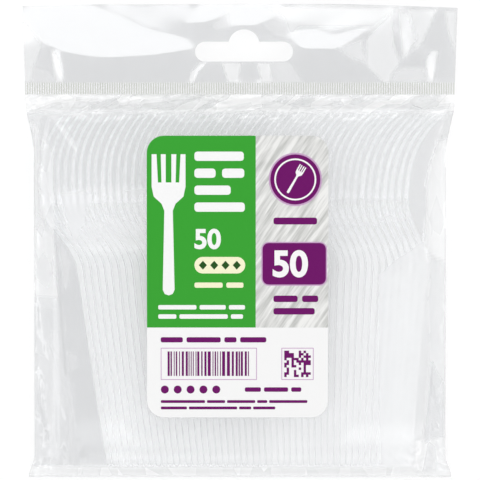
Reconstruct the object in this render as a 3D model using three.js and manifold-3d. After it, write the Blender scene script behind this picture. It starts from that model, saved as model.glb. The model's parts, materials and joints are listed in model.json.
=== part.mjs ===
// A clear film hang bag, lying on its back, that holds one nested row of clear plastic forks.
// The forks stand on their side edges, so the front of the pack shows their curved profiles.
// Above the forks a crimped seal closes the film, and the flat header over it has a hang slot.
// Millimetres, +Z up. +Y points from the bag's bottom fold to its header, +X to the right.
import * as THREE from "three";
import { mergeVertices } from "three/addons/utils/BufferGeometryUtils.js";
import Module from "manifold-3d";

const wasm = await Module();
wasm.setup();

// Fork: lengths run along it from the butt of the handle to the tips of the tines
const FORK_COUNT = 50;
const HANDLE_LENGTH = 100;
const HANDLE_WIDTH = 14;
const HANDLE_DEPTH = 2.68;
const HANDLE_BEND = 2;
const BUTT_RADIUS = 5;
const CHANNEL_DEPTH = 1.1;
const CHANNEL_END_WALL = 5;
const RIM_WIDTH = 1.9;
const NECK_LENGTH = 34;
const NECK_WIDTH = 9;
const BOWL_DROP = 13;
const BOWL_WIDTH = 25.5;
const BOWL_DEPTH = 2.2;
const TINE_COUNT = 4;
const TINE_LENGTH = 43;
const TINE_RISE = 14.5;
const TINE_GAP = 2.9;
const TIP_WIDTH = 2;
const TIP_DEPTH = 1.2;
const TIP_INSET = 1.2;

// Row of forks: each butt sits one pitch to the right of the last, and the lean changes evenly
const NEST_GAP = 0.35;
const LEAN_LEFT = THREE.MathUtils.degToRad(7.4);
const LEAN_RIGHT = THREE.MathUtils.degToRad(-5.5);
const ROW_OFFSET = 1.2;

// Film bag
const FILM = 0.25;
const FILM_GAP = 0.3;
const SIDE_ROOM = 2.35;
const FOOT_ROOM = 4.9;
const HEAD_ROOM = 8.3;
const SEAM_WIDTH = 1.6;
const SEAM_LEVEL = 0.4;
const CRIMP_LEVEL = 10;
const CRIMP_HEIGHT = 6;
const CRIMP_PITCH = 1.2;
const CRIMP_RELIEF = 0.25;
const HEADER_HEIGHT = 40;
const HEADER_FLARE = 6;
const HEADER_DROOP = 4;
const HEADER_ROWS = 4;
const FOOT_FLARE = 3;
const FOOT_FLARE_LENGTH = 11;
const SHOULDER_LENGTH = 30;
const FOLD_DEPTH = 1.4;
const FOLD_PITCH = 52;
const FILM_ROWS = 13;
const INNER_COLUMNS = 8;
const VENT_DIAMETER = 4;

// Hang slot: a bar with round ends and a round bump over its middle
const SLOT_LENGTH = 49;
const SLOT_HEIGHT = 10;
const SLOT_BUMP_RADIUS = 7.75;
const SLOT_BUMP_RISE = 3.5;
const SLOT_ABOVE_CRIMP = 15.5;
const SLOT_OFFSET = 2;

// Label
const LABEL_WIDTH = 90;
const LABEL_HEIGHT = 140;
const LABEL_CORNER = 8.5;
const LABEL_THICKNESS = 0.2;
const LABEL_BELOW_CRIMP = 21;
const LABEL_OFFSET = -1.2;

// Facets of the curved stretches
const HANDLE_STEPS = 2;
const NECK_STEPS = 4;
const TINE_STEPS = 3;
const CORNER_STEPS = 3;
const ROUND_STEPS = 8;

const BOWL_START = HANDLE_LENGTH + NECK_LENGTH;
const FORK_LENGTH = BOWL_START + TINE_LENGTH;
const FLARE_START = HANDLE_LENGTH + NECK_LENGTH / 6;
const FLARE_END = BOWL_START - NECK_LENGTH / 6;

const { degToRad, lerp, smoothstep } = THREE.MathUtils;

// Numbers from start to end in equal steps, with both ends.
function steps(start, end, count) {
  return Array.from({ length: count + 1 }, (_, i) => lerp(start, end, i / count));
}

// A closed three.js geometry as a solid for cutting and joining.
function solid(geometry) {
  const bare = geometry.clone();
  bare.deleteAttribute("normal");
  bare.deleteAttribute("uv");
  const merged = mergeVertices(bare, 1e-4);
  return new wasm.Manifold(
    new wasm.Mesh({
      numProp: 3,
      vertProperties: new Float32Array(merged.attributes.position.array),
      triVerts: new Uint32Array(merged.index.array),
    }),
  );
}

// A solid as a three.js geometry.
function geometryOf(manifold) {
  const mesh = manifold.getMesh();
  const geometry = new THREE.BufferGeometry();
  geometry.setAttribute("position", new THREE.BufferAttribute(new Float32Array(mesh.vertProperties), 3));
  geometry.setIndex(new THREE.BufferAttribute(new Uint32Array(mesh.triVerts), 1));
  geometry.computeVertexNormals();
  return geometry;
}

function extrude(shape, depth, curveSegments = CORNER_STEPS) {
  return new THREE.ExtrudeGeometry(shape, { depth, bevelEnabled: false, curveSegments });
}

// Side profile of a fork: height and slope of its middle surface at a distance along it.
// The handle bends up towards its butt, the neck drops in an S, and the bowl runs into rising tines.
function profile(along) {
  if (along < HANDLE_LENGTH) {
    const rest = 1 - along / HANDLE_LENGTH;
    return { height: HANDLE_BEND * rest ** 2, slope: (-2 * HANDLE_BEND * rest) / HANDLE_LENGTH };
  }
  if (along < BOWL_START) {
    const part = (along - HANDLE_LENGTH) / NECK_LENGTH;
    return {
      height: -BOWL_DROP * part ** 2 * (3 - 2 * part),
      slope: (-6 * BOWL_DROP * part * (1 - part)) / NECK_LENGTH,
    };
  }
  const part = (along - BOWL_START) / TINE_LENGTH;
  return { height: TINE_RISE * part ** 3 - BOWL_DROP, slope: (3 * TINE_RISE * part ** 2) / TINE_LENGTH };
}

// Depth of the plastic across the fork's middle surface.
function depthAt(along) {
  if (along <= HANDLE_LENGTH) return HANDLE_DEPTH;
  if (along <= BOWL_START) return lerp(HANDLE_DEPTH, BOWL_DEPTH, (along - HANDLE_LENGTH) / NECK_LENGTH);
  return lerp(BOWL_DEPTH, TIP_DEPTH, (along - BOWL_START) / TINE_LENGTH);
}

// A point of the side profile, off the middle surface by a share of half the depth there.
function profilePoint(along, share) {
  const { height, slope } = profile(along);
  const away = (share * depthAt(along)) / 2 / Math.hypot(1, slope);
  return new THREE.Vector2(height + away, along - slope * away);
}

// A band of the side profile between two shares of its half depth.
function profileBand(stations, under, upper) {
  return new THREE.Shape([
    ...stations.map((along) => profilePoint(along, under)),
    ...stations.map((along) => profilePoint(along, upper)).reverse(),
  ]);
}

// Plan of a fork, seen from above: rounded butt, tapering handle, neck, bowl and tines.
function forkPlan() {
  const handle = HANDLE_WIDTH / 2;
  const neck = NECK_WIDTH / 2;
  const bowl = BOWL_WIDTH / 2;
  const middle = (FLARE_START + FLARE_END) / 2;
  const reach = FORK_LENGTH + BOWL_DROP;
  const rootWidth = (BOWL_WIDTH - (TINE_COUNT - 1) * TINE_GAP) / TINE_COUNT;
  const tipSpan = BOWL_WIDTH - 2 * TIP_INSET - TIP_WIDTH;
  const shape = new THREE.Shape();
  shape.moveTo(handle - BUTT_RADIUS, -HANDLE_DEPTH);
  shape.lineTo(handle - BUTT_RADIUS, 0);
  shape.quadraticCurveTo(handle, 0, handle, BUTT_RADIUS);
  shape.lineTo(neck, FLARE_START);
  shape.bezierCurveTo(neck, middle, bowl, middle, bowl, FLARE_END);
  for (let tine = TINE_COUNT - 1; tine >= 0; tine--) {
    const root = -bowl + rootWidth / 2 + tine * (rootWidth + TINE_GAP);
    const tip = tipSpan * (tine / (TINE_COUNT - 1) - 0.5);
    shape.lineTo(root + rootWidth / 2, BOWL_START);
    shape.lineTo(tip + TIP_WIDTH / 2, reach);
    shape.lineTo(tip - TIP_WIDTH / 2, reach);
    shape.lineTo(root - rootWidth / 2, BOWL_START);
  }
  shape.lineTo(-bowl, FLARE_END);
  shape.bezierCurveTo(-bowl, middle, -neck, middle, -neck, FLARE_START);
  shape.lineTo(-handle, BUTT_RADIUS);
  shape.quadraticCurveTo(-handle, 0, BUTT_RADIUS - handle, 0);
  shape.lineTo(BUTT_RADIUS - handle, -HANDLE_DEPTH);
  return shape;
}

// Plan of the recess under the handle, between its two rims.
function channelPlan() {
  const half = (along) => lerp(HANDLE_WIDTH, NECK_WIDTH, along / FLARE_START) / 2 - RIM_WIDTH;
  const ends = [CHANNEL_END_WALL, HANDLE_LENGTH];
  return new THREE.Shape([
    ...ends.map((along) => new THREE.Vector2(half(along), along)),
    ...ends.reverse().map((along) => new THREE.Vector2(-half(along), along)),
  ]);
}

// Fork in its own frame: +Y along it, +X up out of its bowl, Z across it.
function forkGeometry() {
  const handle = steps(0, HANDLE_LENGTH, HANDLE_STEPS);
  const neck = steps(HANDLE_LENGTH, BOWL_START, NECK_STEPS).slice(1);
  const tines = steps(BOWL_START, FORK_LENGTH, TINE_STEPS).slice(1);
  const across = (shape) => solid(extrude(shape, BOWL_WIDTH).translate(0, 0, -BOWL_WIDTH / 2));
  const through = (shape) => solid(extrude(shape, 4 * BOWL_DROP).translate(0, 0, -2 * BOWL_DROP).rotateY(Math.PI / 2));
  const channelFloor = (2 * CHANNEL_DEPTH) / HANDLE_DEPTH - 1;
  const band = across(profileBand([...handle, ...neck, ...tines], -1, 1));
  const recess = across(profileBand(handle, -2, channelFloor)).intersect(through(channelPlan()));
  return geometryOf(band.intersect(through(forkPlan())).subtract(recess));
}

// The forks stand on one side edge each, tilted so that bowl and butt both touch the back film.
function forkRow(material) {
  const geometry = forkGeometry();
  const tilt = Math.atan2((BOWL_WIDTH - HANDLE_WIDTH) / 2, FLARE_END - BUTT_RADIUS);
  const pitch = (HANDLE_DEPTH + NEST_GAP) / Math.cos(Math.max(Math.abs(LEAN_LEFT), Math.abs(LEAN_RIGHT)));
  const row = Array.from({ length: FORK_COUNT }, (_, i) => {
    const fork = new THREE.Mesh(geometry, material.clone());
    fork.name = `fork_${String(i + 1).padStart(2, "0")}`;
    fork.rotation.set(tilt, 0, lerp(LEAN_LEFT, LEAN_RIGHT, i / Math.max(1, FORK_COUNT - 1)), "ZXY");
    fork.position.set(i * pitch, 0, 0);
    return fork;
  });
  return row;
}

// Every corner of the placed forks.
function corners(meshes) {
  return meshes.flatMap((mesh) => {
    mesh.updateMatrixWorld(true);
    const position = mesh.geometry.attributes.position;
    return Array.from({ length: position.count }, (_, i) =>
      new THREE.Vector3().fromBufferAttribute(position, i).applyMatrix4(mesh.matrixWorld),
    );
  });
}

// The line of a taut film over (side 1) or under (side -1) a set of [at, value] points.
function tautLine(points, side) {
  const sorted = [...points].sort((a, b) => a[0] - b[0] || side * (b[1] - a[1]));
  const chain = [];
  for (const point of sorted) {
    if (chain.length > 0 && chain.at(-1)[0] === point[0]) continue;
    while (chain.length > 1) {
      const [[a0, a1], [b0, b1]] = chain.slice(-2);
      if (side * ((b0 - a0) * (point[1] - a1) - (b1 - a1) * (point[0] - a0)) < 0) break;
      chain.pop();
    }
    chain.push(point);
  }
  return chain;
}

// Value of a line of [at, value] points, held flat beyond its ends.
function valueOn(line, at) {
  const next = line.findIndex((point) => point[0] > at);
  if (next === 0) return line[0][1];
  if (next < 0) return line.at(-1)[1];
  const [a, b] = [line[next - 1], line[next]];
  return lerp(a[1], b[1], (at - a[0]) / (b[0] - a[0]));
}

// A closed sheet between a front and a back grid of points, with or without walls at its border.
function sheetGeometry(front, back, walls) {
  const rows = front.length;
  const columns = front[0].length;
  const points = [...front.flat(), ...back.flat()];
  const at = (row, column, side) => side * rows * columns + row * columns + column;
  const index = [];
  const quad = (a, b, c, d) => index.push(a, b, c, a, c, d);
  for (let r = 0; r + 1 < rows; r++) {
    for (let c = 0; c + 1 < columns; c++) {
      quad(at(r, c, 0), at(r, c + 1, 0), at(r + 1, c + 1, 0), at(r + 1, c, 0));
      quad(at(r + 1, c, 1), at(r + 1, c + 1, 1), at(r, c + 1, 1), at(r, c, 1));
    }
  }
  for (let r = 0; walls && r + 1 < rows; r++) {
    quad(at(r, 0, 0), at(r + 1, 0, 0), at(r + 1, 0, 1), at(r, 0, 1));
    quad(at(r + 1, columns - 1, 0), at(r, columns - 1, 0), at(r, columns - 1, 1), at(r + 1, columns - 1, 1));
  }
  for (let c = 0; walls && c + 1 < columns; c++) {
    quad(at(0, c + 1, 0), at(0, c, 0), at(0, c, 1), at(0, c + 1, 1));
    quad(at(rows - 1, c, 0), at(rows - 1, c + 1, 0), at(rows - 1, c + 1, 1), at(rows - 1, c, 1));
  }
  const geometry = new THREE.BufferGeometry().setFromPoints(points);
  geometry.setIndex(index);
  return geometry;
}

// Levels of the pack along Y, its taut film lines and its outline, all taken from the placed forks.
// The film bends only at its rows, so each fork corner holds it out at the rows on both sides of it.
function packLayout(points) {
  const box = new THREE.Box3().setFromPoints(points);
  const height = FOOT_ROOM + (box.max.y - box.min.y) + HEAD_ROOM + CRIMP_HEIGHT + HEADER_HEIGHT;
  const top = height / 2;
  const foot = -height / 2;
  const crimpTop = top - HEADER_HEIGHT;
  const crimp = crimpTop - CRIMP_HEIGHT;
  const fold = foot + SEAM_WIDTH;
  const foldLevel = SEAM_LEVEL * HANDLE_WIDTH;
  const bands = steps(box.min.y - FILM_GAP, box.max.y + FILM_GAP, FILM_ROWS);
  const bandOf = (y) => Math.min(FILM_ROWS - 1, Math.floor((y - bands[0]) / (bands[1] - bands[0])));
  const around = (value) => points.flatMap((p) => [0, 1].map((end) => [bands[bandOf(p.y) + end], value(p)]));
  const ends = [[fold, foldLevel], [crimp, CRIMP_LEVEL]];
  const lines = {
    front: tautLine([...around((p) => p.z + FILM_GAP), ...ends], 1),
    back: tautLine([...around((p) => p.z - FILM_GAP), ...ends], -1),
    left: tautLine(around((p) => p.x - FILM_GAP), -1),
    right: tautLine(around((p) => p.x + FILM_GAP), 1),
  };
  const halfWidth = (y) =>
    (box.max.x - box.min.x) / 2 +
    SIDE_ROOM +
    FOOT_FLARE * (1 - smoothstep(y, foot, foot + FOOT_FLARE_LENGTH)) +
    HEADER_FLARE * smoothstep(y, crimp - SHOULDER_LENGTH, crimp);
  const rows = [fold, ...bands, lerp(bands.at(-1), crimp, 0.5), crimp];
  return { box, top, foot, fold, crimp, crimpTop, lines, halfWidth, rows };
}

// One row of film points at a level, pushed out of the contents by an offset.
// Columns run from the left edge seam over the slack side film and the contents to the right seam.
function filmRow(layout, y, offset, side, phase) {
  const { lines, halfWidth, box, crimp, fold } = layout;
  const front = valueOn(lines.front, y);
  const back = valueOn(lines.back, y);
  const seam = lerp(back, front, SEAM_LEVEL);
  const level = side > 0 ? front : back;
  const edge = halfWidth(y) - (offset > 0 ? 0 : SEAM_WIDTH);
  const left = valueOn(lines.left, y) - offset;
  const right = valueOn(lines.right, y) + offset;
  const shiftY = y > box.max.y ? 0 : y < box.min.y ? -offset : 0;
  const slack = (width) => Math.min(1, width / (2 * SIDE_ROOM + SEAM_WIDTH)) * phase * FOLD_DEPTH * 0.5;
  const gather = y > box.max.y + 2 * FILM_GAP && y < crimp ? FOLD_DEPTH * 0.5 : 0;
  const open = y > fold && y < crimp ? 1 : 0;
  const middle = (width) => lerp(seam, level, 0.5) + open * side * offset + open * (side > 0 ? slack(width) : 0);
  const inner = steps(left, right, INNER_COLUMNS - 1).map((x, i) => {
    const ripple = i > 0 && i < INNER_COLUMNS - 1 ? gather * (i % 2 ? 1 : -1) : 0;
    return new THREE.Vector3(x, y + shiftY, level + side * offset + ripple);
  });
  return [
    new THREE.Vector3(-edge, y + shiftY, seam + side * offset),
    new THREE.Vector3(lerp(-edge, left, 0.5), y + shiftY, middle(edge + left) + (1 - open) * side * offset),
    ...inner,
    new THREE.Vector3(lerp(edge, right, 0.5), y + shiftY, middle(edge - right) + (1 - open) * side * offset),
    new THREE.Vector3(edge, y + shiftY, seam + side * offset),
  ];
}

// One row of the header, where the two films lie on each other and hang a little towards the back.
function headerRow(layout, y, side) {
  const { crimp, crimpTop, top, halfWidth } = layout;
  const rise = Math.max(0, (y - crimpTop) / (top - crimpTop));
  return filmRow(layout, crimp, FILM, side, 0).map((point) => {
    const x = (point.x / halfWidth(crimp)) * halfWidth(y);
    const wave = FOLD_DEPTH * Math.sin(((x + y) / FOLD_PITCH) * 2 * Math.PI) * rise;
    return new THREE.Vector3(x, y, point.z - HEADER_DROOP * rise + wave);
  });
}

// Ribs of the crimped seal: one zigzag strip across the header's foot.
function crimpRibs({ crimpTop, crimp, halfWidth }) {
  const half = halfWidth(crimp) - FILM;
  const count = Math.round((2 * half) / CRIMP_PITCH);
  const base = CRIMP_LEVEL + FILM / 2;
  const zigzag = steps(half, -half, 2 * count).map(
    (x, i) => new THREE.Vector2(x, CRIMP_LEVEL + FILM + (i % 2 ? CRIMP_RELIEF : CRIMP_RELIEF / 8)),
  );
  const strip = new THREE.Shape([new THREE.Vector2(half, base), ...zigzag, new THREE.Vector2(-half, base)]);
  return solid(extrude(strip, CRIMP_HEIGHT).rotateX(Math.PI / 2).translate(0, crimpTop, 0));
}

function hangSlot({ crimpTop }) {
  const height = crimpTop + SLOT_ABOVE_CRIMP;
  const reach = 4 * CRIMP_LEVEL;
  const round = SLOT_HEIGHT / 2;
  const bar = new THREE.Shape();
  bar.absarc(SLOT_LENGTH / 2 - round, 0, round, -Math.PI / 2, Math.PI / 2, false);
  bar.absarc(round - SLOT_LENGTH / 2, 0, round, Math.PI / 2, Math.PI * 1.5, false);
  const bump = new THREE.Shape().absarc(0, SLOT_BUMP_RISE, SLOT_BUMP_RADIUS, 0, 2 * Math.PI, false);
  const cut = (shape) => solid(extrude(shape, reach, ROUND_STEPS).translate(SLOT_OFFSET, height, -reach / 2));
  return cut(bar).add(cut(bump));
}

// A punched air hole in the back film, between the tines and the seal.
function ventHole({ box, crimp, lines }) {
  const y = lerp(box.max.y, crimp, 0.5);
  const middle = lerp(valueOn(lines.back, y), valueOn(lines.front, y), 0.5);
  const drill = new THREE.CylinderGeometry(VENT_DIAMETER / 2, VENT_DIAMETER / 2, 4 * CRIMP_LEVEL, ROUND_STEPS * 2);
  return solid(drill.rotateX(Math.PI / 2).translate(0, y, middle - 2 * CRIMP_LEVEL));
}

function filmBagGeometry(layout) {
  const { foot, fold, crimpTop, top, rows } = layout;
  const phase = (i) => (i % 2 ? 1 : -1);
  const footRow = (side) => filmRow(layout, fold, FILM, side, 0).map((p) => new THREE.Vector3(p.x, foot, p.z));
  const headerLevels = steps(crimpTop, top, HEADER_ROWS);
  const grid = (side) => [
    footRow(side),
    ...rows.slice(1).map((y, i) => filmRow(layout, y, FILM, side, phase(i + 1))),
    ...headerLevels.map((y) => headerRow(layout, y, side)),
  ];
  const cavityGrid = (side) => rows.map((y, i) => filmRow(layout, y, 0, side, phase(i)));
  const shell = solid(sheetGeometry(grid(1), grid(-1), true));
  const cavity = solid(sheetGeometry(cavityGrid(1), cavityGrid(-1), false));
  const bag = shell.subtract(cavity).add(crimpRibs(layout)).subtract(hangSlot(layout)).subtract(ventHole(layout));
  return geometryOf(bag);
}

// The label lies on the front film and bends with it, with rounded corners.
function labelGeometry(layout) {
  const top = layout.crimp - LABEL_BELOW_CRIMP;
  const bottom = top - LABEL_HEIGHT;
  const arc = steps(0, Math.PI / 2, 2 * CORNER_STEPS);
  const inset = (y) => {
    const near = Math.min(top - y, y - bottom);
    if (near >= LABEL_CORNER) return 0;
    return LABEL_CORNER - Math.sqrt(Math.max(0, LABEL_CORNER ** 2 - (LABEL_CORNER - near) ** 2));
  };
  const levels = [
    ...arc.map((angle) => bottom + LABEL_CORNER * (1 - Math.cos(angle))),
    ...arc.map((angle) => top - LABEL_CORNER * (1 - Math.cos(angle))),
    ...layout.rows.filter((y) => y > bottom && y < top),
  ].sort((a, b) => a - b);
  const rows = levels.filter((y, i) => i === 0 || y - levels[i - 1] > 0.01);
  const grid = (away) =>
    rows.map((y) =>
      [-1, 1].map((edge) => {
        const x = LABEL_OFFSET + edge * (LABEL_WIDTH / 2 - inset(y));
        return new THREE.Vector3(x, y, valueOn(layout.lines.front, y) + FILM + FILM_GAP + away);
      }),
    );
  return geometryOf(solid(sheetGeometry(grid(LABEL_THICKNESS), grid(0), true)));
}

function plastic(color, opacity) {
  return new THREE.MeshStandardMaterial({ color, roughness: 0.15, metalness: 0, transparent: true, opacity });
}

// Build the forks, move the row to its place in the pack, then lay film and label round it.
const forks = forkRow(plastic(0xf0f2f4, 0.6));
const rowBox = new THREE.Box3().setFromPoints(corners(forks));
const packHeight = FOOT_ROOM + (rowBox.max.y - rowBox.min.y) + HEAD_ROOM + CRIMP_HEIGHT + HEADER_HEIGHT;
const home = new THREE.Vector3(
  ROW_OFFSET - (rowBox.min.x + rowBox.max.x) / 2,
  FOOT_ROOM - packHeight / 2 - rowBox.min.y,
  FILM + FILM_GAP - rowBox.min.z,
);
forks.forEach((fork) => fork.position.add(home));

const layout = packLayout(corners(forks));
const bag = new THREE.Mesh(filmBagGeometry(layout), plastic(0xeef2f4, 0.3));
bag.name = "film_bag";
const label = new THREE.Mesh(
  labelGeometry(layout),
  new THREE.MeshStandardMaterial({ color: 0xf4f6f2, roughness: 0.35, metalness: 0 }),
);
label.name = "front_label";

const pack = new THREE.Group();
pack.name = "cutlery_pack";
pack.add(bag, label, ...forks);

export default pack;
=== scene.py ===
"""Looks of a clear film hang bag that holds a nested row of clear plastic forks.

The pack lies on its back, with its header towards +Y and its printed front towards +Z.
Sizes in the classes below are millimetres, and meshes are written in metres.
"""

from __future__ import annotations

import json
import logging
import math
from dataclasses import dataclass, field, replace
from enum import Enum
from typing import Any, Callable, Iterable, Sequence, Union

import bmesh
import bpy
import numpy as np
from mathutils import Matrix, Vector

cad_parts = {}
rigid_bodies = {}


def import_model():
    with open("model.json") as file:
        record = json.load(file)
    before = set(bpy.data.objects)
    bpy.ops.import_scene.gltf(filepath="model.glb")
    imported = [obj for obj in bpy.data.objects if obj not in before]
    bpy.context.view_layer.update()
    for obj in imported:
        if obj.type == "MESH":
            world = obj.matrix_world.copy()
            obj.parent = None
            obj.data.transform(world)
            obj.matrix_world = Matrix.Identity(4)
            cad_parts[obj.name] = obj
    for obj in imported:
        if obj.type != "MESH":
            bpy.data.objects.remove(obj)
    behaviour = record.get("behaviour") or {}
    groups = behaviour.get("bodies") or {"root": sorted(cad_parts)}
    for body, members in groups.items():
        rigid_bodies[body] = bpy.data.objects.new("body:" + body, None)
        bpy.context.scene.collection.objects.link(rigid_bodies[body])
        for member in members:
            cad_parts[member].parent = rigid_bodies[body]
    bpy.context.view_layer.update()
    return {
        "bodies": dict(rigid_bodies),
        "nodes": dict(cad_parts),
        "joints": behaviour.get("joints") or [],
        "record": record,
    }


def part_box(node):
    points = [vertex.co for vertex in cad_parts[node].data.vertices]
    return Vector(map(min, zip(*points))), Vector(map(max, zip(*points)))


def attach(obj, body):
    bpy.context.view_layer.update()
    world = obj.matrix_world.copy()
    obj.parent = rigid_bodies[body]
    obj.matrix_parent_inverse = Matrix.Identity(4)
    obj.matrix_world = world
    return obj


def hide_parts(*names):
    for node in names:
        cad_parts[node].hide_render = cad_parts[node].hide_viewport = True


LOG = logging.getLogger("cutlery_pack")
MM = 0.001
BODY = "root"

FILM_GAP = 0.3
FILM_BANDS = 13
FOOT_INSET = 1.6
OUTLINE_STEP = 4
PRINT_LEVEL = 0.9

Array = np.ndarray
Colour = tuple[float, float, float]
Point = tuple[float, float]

WHITE: Colour = (1.0, 1.0, 1.0)


def linear(red: int, green: int, blue: int) -> Colour:
    """A display colour of 0 to 255 per channel as linear light.

    Args:
        red: Red channel.
        green: Green channel.
        blue: Blue channel.

    Returns:
        The linear colour.
    """
    shares = (channel / 255 for channel in (red, green, blue))
    return tuple(s / 12.92 if s <= 0.04045 else ((s + 0.055) / 1.055) ** 2.4 for s in shares)


def smoothstep(low: float, high: float, value: Any) -> Any:
    """Smooth rise from 0 at low to 1 at high.

    Args:
        low: Value where the rise starts.
        high: Value where it ends.
        value: Number or array to place on the rise.

    Returns:
        The share of the rise, of the same shape as value.
    """
    part = np.clip((value - low) / (high - low), 0.0, 1.0)
    return part * part * (3.0 - 2.0 * part)


class Signal:
    """A node's output that takes part in arithmetic: each operation adds one Math node."""

    def __init__(self, graph: "Graph", socket: bpy.types.NodeSocket) -> None:
        """Keep the graph and the socket that carries the value."""
        self.graph = graph
        self.socket = socket

    def math(self, operation: str, *others: "Value") -> "Signal":
        """Add a Math node that starts from this value.

        Args:
            operation: Name of the Math node's operation.
            others: The other operands, in order.

        Returns:
            The node's result.
        """
        values = {index: value for index, value in enumerate((self, *others))}
        return self.graph.node("ShaderNodeMath", {"operation": operation}, values)

    def __add__(self, other: "Value") -> "Signal":
        """This value plus another."""
        return self.math("ADD", other)

    def __sub__(self, other: "Value") -> "Signal":
        """This value minus another."""
        return self.math("SUBTRACT", other)

    def __mul__(self, other: "Value") -> "Signal":
        """This value times another."""
        return self.math("MULTIPLY", other)

    def __pow__(self, other: "Value") -> "Signal":
        """This value to a power."""
        return self.math("POWER", other)

    def __gt__(self, other: "Value") -> "Signal":
        """1 where this value is above another, and 0 elsewhere."""
        return self.math("GREATER_THAN", other)

    def __lt__(self, other: "Value") -> "Signal":
        """1 where this value is below another, and 0 elsewhere."""
        return self.math("LESS_THAN", other)


Value = Union[Signal, float, int, Sequence[float]]


class Graph:
    """A node tree and the one method that adds nodes to it."""

    def __init__(self, tree: bpy.types.NodeTree) -> None:
        """Empty the tree and keep it."""
        self.tree = tree
        tree.nodes.clear()

    def node(
        self,
        kind: str,
        settings: dict[str, Any] | None = None,
        sockets: dict[Union[str, int], Value] | None = None,
        out: Union[str, int] = 0,
    ) -> Signal:
        """Add a node.

        Args:
            kind: The node's type.
            settings: Attributes of the node, set first. "stops" fills a colour ramp.
            sockets: Values or links of its inputs, by name or number.
            out: Name or number of the output that is wanted.

        Returns:
            That output.
        """
        made = self.tree.nodes.new(kind)
        for name, setting in (settings or {}).items():
            if name == "stops":
                self._stops(made, setting)
            else:
                setattr(made, name, setting)
        for name, value in (sockets or {}).items():
            if isinstance(value, Signal):
                self.tree.links.new(value.socket, made.inputs[name])
            else:
                made.inputs[name].default_value = value
        return Signal(self, made.outputs[out]) if made.outputs else None

    @staticmethod
    def _stops(ramp: bpy.types.Node, stops: Sequence[tuple[float, Colour]]) -> None:
        """Fill a colour ramp.

        Args:
            ramp: The ramp's node.
            stops: Position and colour of each stop, from the first.
        """
        elements = ramp.color_ramp.elements
        while len(elements) < len(stops):
            elements.new(1.0)
        for element, (position, colour) in zip(elements, stops):
            element.position = position
            element.color = (*colour, 1.0)

    def mix(self, share: Value, first: Value, second: Value) -> Signal:
        """Mix two colours.

        Args:
            share: Share of the second colour.
            first: First colour.
            second: Second colour.

        Returns:
            The mixed colour.
        """
        settings = {"data_type": "RGBA", "clamp_factor": True}
        ends = {6: first, 7: second}
        filled = {key: end if isinstance(end, Signal) else (*end, 1.0) for key, end in ends.items()}
        return self.node("ShaderNodeMix", settings, {0: share, **filled}, out=2)

    def blend(self, share: Value, first: Signal, second: Signal) -> Signal:
        """Mix two shaders, with a share of the second."""
        return self.node("ShaderNodeMixShader", None, {0: share, 1: first, 2: second})

    def shader(self, kind: str, colour: Colour, roughness: float | None = None) -> Signal:
        """Add a plain shader.

        Args:
            kind: Its kind, such as Diffuse, Transparent or Glossy.
            colour: Its colour.
            roughness: Its roughness, where it has one.

        Returns:
            The shader.
        """
        sockets: dict[Union[str, int], Value] = {"Color": (*colour, 1.0)}
        if roughness is not None:
            sockets["Roughness"] = roughness
        return self.node(f"ShaderNodeBsdf{kind}", None, sockets)

    def facing(self) -> Signal:
        """0 where a surface is seen straight on, rising to 1 where it is seen along itself."""
        return self.node("ShaderNodeLayerWeight", None, {"Blend": 0.5}, out="Facing")

    def attribute(self, name: str) -> Signal:
        """A number that the mesh carries at its points."""
        return self.node("ShaderNodeAttribute", {"attribute_name": name}, out="Fac")

    def rise(
        self, value: Signal, over: Point, levels: Point = (0.0, 1.0), kind: str = "SMOOTHSTEP"
    ) -> Signal:
        """Go from one level to another along a value.

        Args:
            value: The value.
            over: Where the change starts and ends.
            levels: Level before and after the change.
            kind: The Map Range node's interpolation.

        Returns:
            The level.
        """
        ends = dict(zip(("From Min", "From Max", "To Min", "To Max"), (*over, *levels)))
        return self.node("ShaderNodeMapRange", {"interpolation_type": kind}, {"Value": value, **ends})

    def position(self) -> tuple[Signal, Signal, Signal]:
        """X, Y and Z of the surface in the object's own frame, in millimetres."""
        place = self.node("ShaderNodeTexCoord", out="Object")
        scaled = self.node("ShaderNodeVectorMath", {"operation": "SCALE"}, {0: place, "Scale": 1 / MM})
        names = ("X", "Y", "Z")
        return tuple(self.node("ShaderNodeSeparateXYZ", None, {0: scaled}, out=name) for name in names)

    def noise(self, scale: float, detail: float, stretch: Colour = (1, 1, 1)) -> Signal:
        """Noise of 0 to 1 over the object's own place.

        Args:
            scale: Waves per metre.
            detail: Number of finer layers.
            stretch: Factor on the scale along X, Y and Z.

        Returns:
            The noise value.
        """
        place = self.node("ShaderNodeTexCoord", out="Object")
        stretched = self.node("ShaderNodeMapping", None, {"Vector": place, "Scale": stretch})
        sockets = {"Vector": stretched, "Scale": scale, "Detail": detail}
        return self.node("ShaderNodeTexNoise", None, sockets)

    def cells(self, scale: Colour, turn: float) -> Signal:
        """A number of 0 to 1 for each cell of a broken surface, over the object's own place.

        Args:
            scale: Cells per metre along X, Y and Z.
            turn: Turn of the cells about Z.

        Returns:
            The cell's number.
        """
        place = self.node("ShaderNodeTexCoord", out="Object")
        turned = self.node("ShaderNodeMapping", None, {"Vector": place, "Rotation": (0, 0, turn)})
        stretched = self.node("ShaderNodeMapping", None, {"Vector": turned, "Scale": scale})
        colour = self.node("ShaderNodeTexVoronoi", None, {"Vector": stretched, "Scale": 1.0}, out="Color")
        return self.node("ShaderNodeSeparateColor", None, {0: colour}, out=0)

    def bump(self, height: Signal, distance: float, strength: float) -> Signal:
        """A normal that follows a height map, with its distance in metres."""
        sockets = {"Height": height, "Distance": distance, "Strength": strength}
        return self.node("ShaderNodeBump", None, sockets)

    def surface(self, shader: Signal) -> None:
        """Make a shader the one that the tree shows."""
        output = self.tree.nodes.new("ShaderNodeOutputMaterial")
        self.tree.links.new(shader.socket, output.inputs["Surface"])


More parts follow.
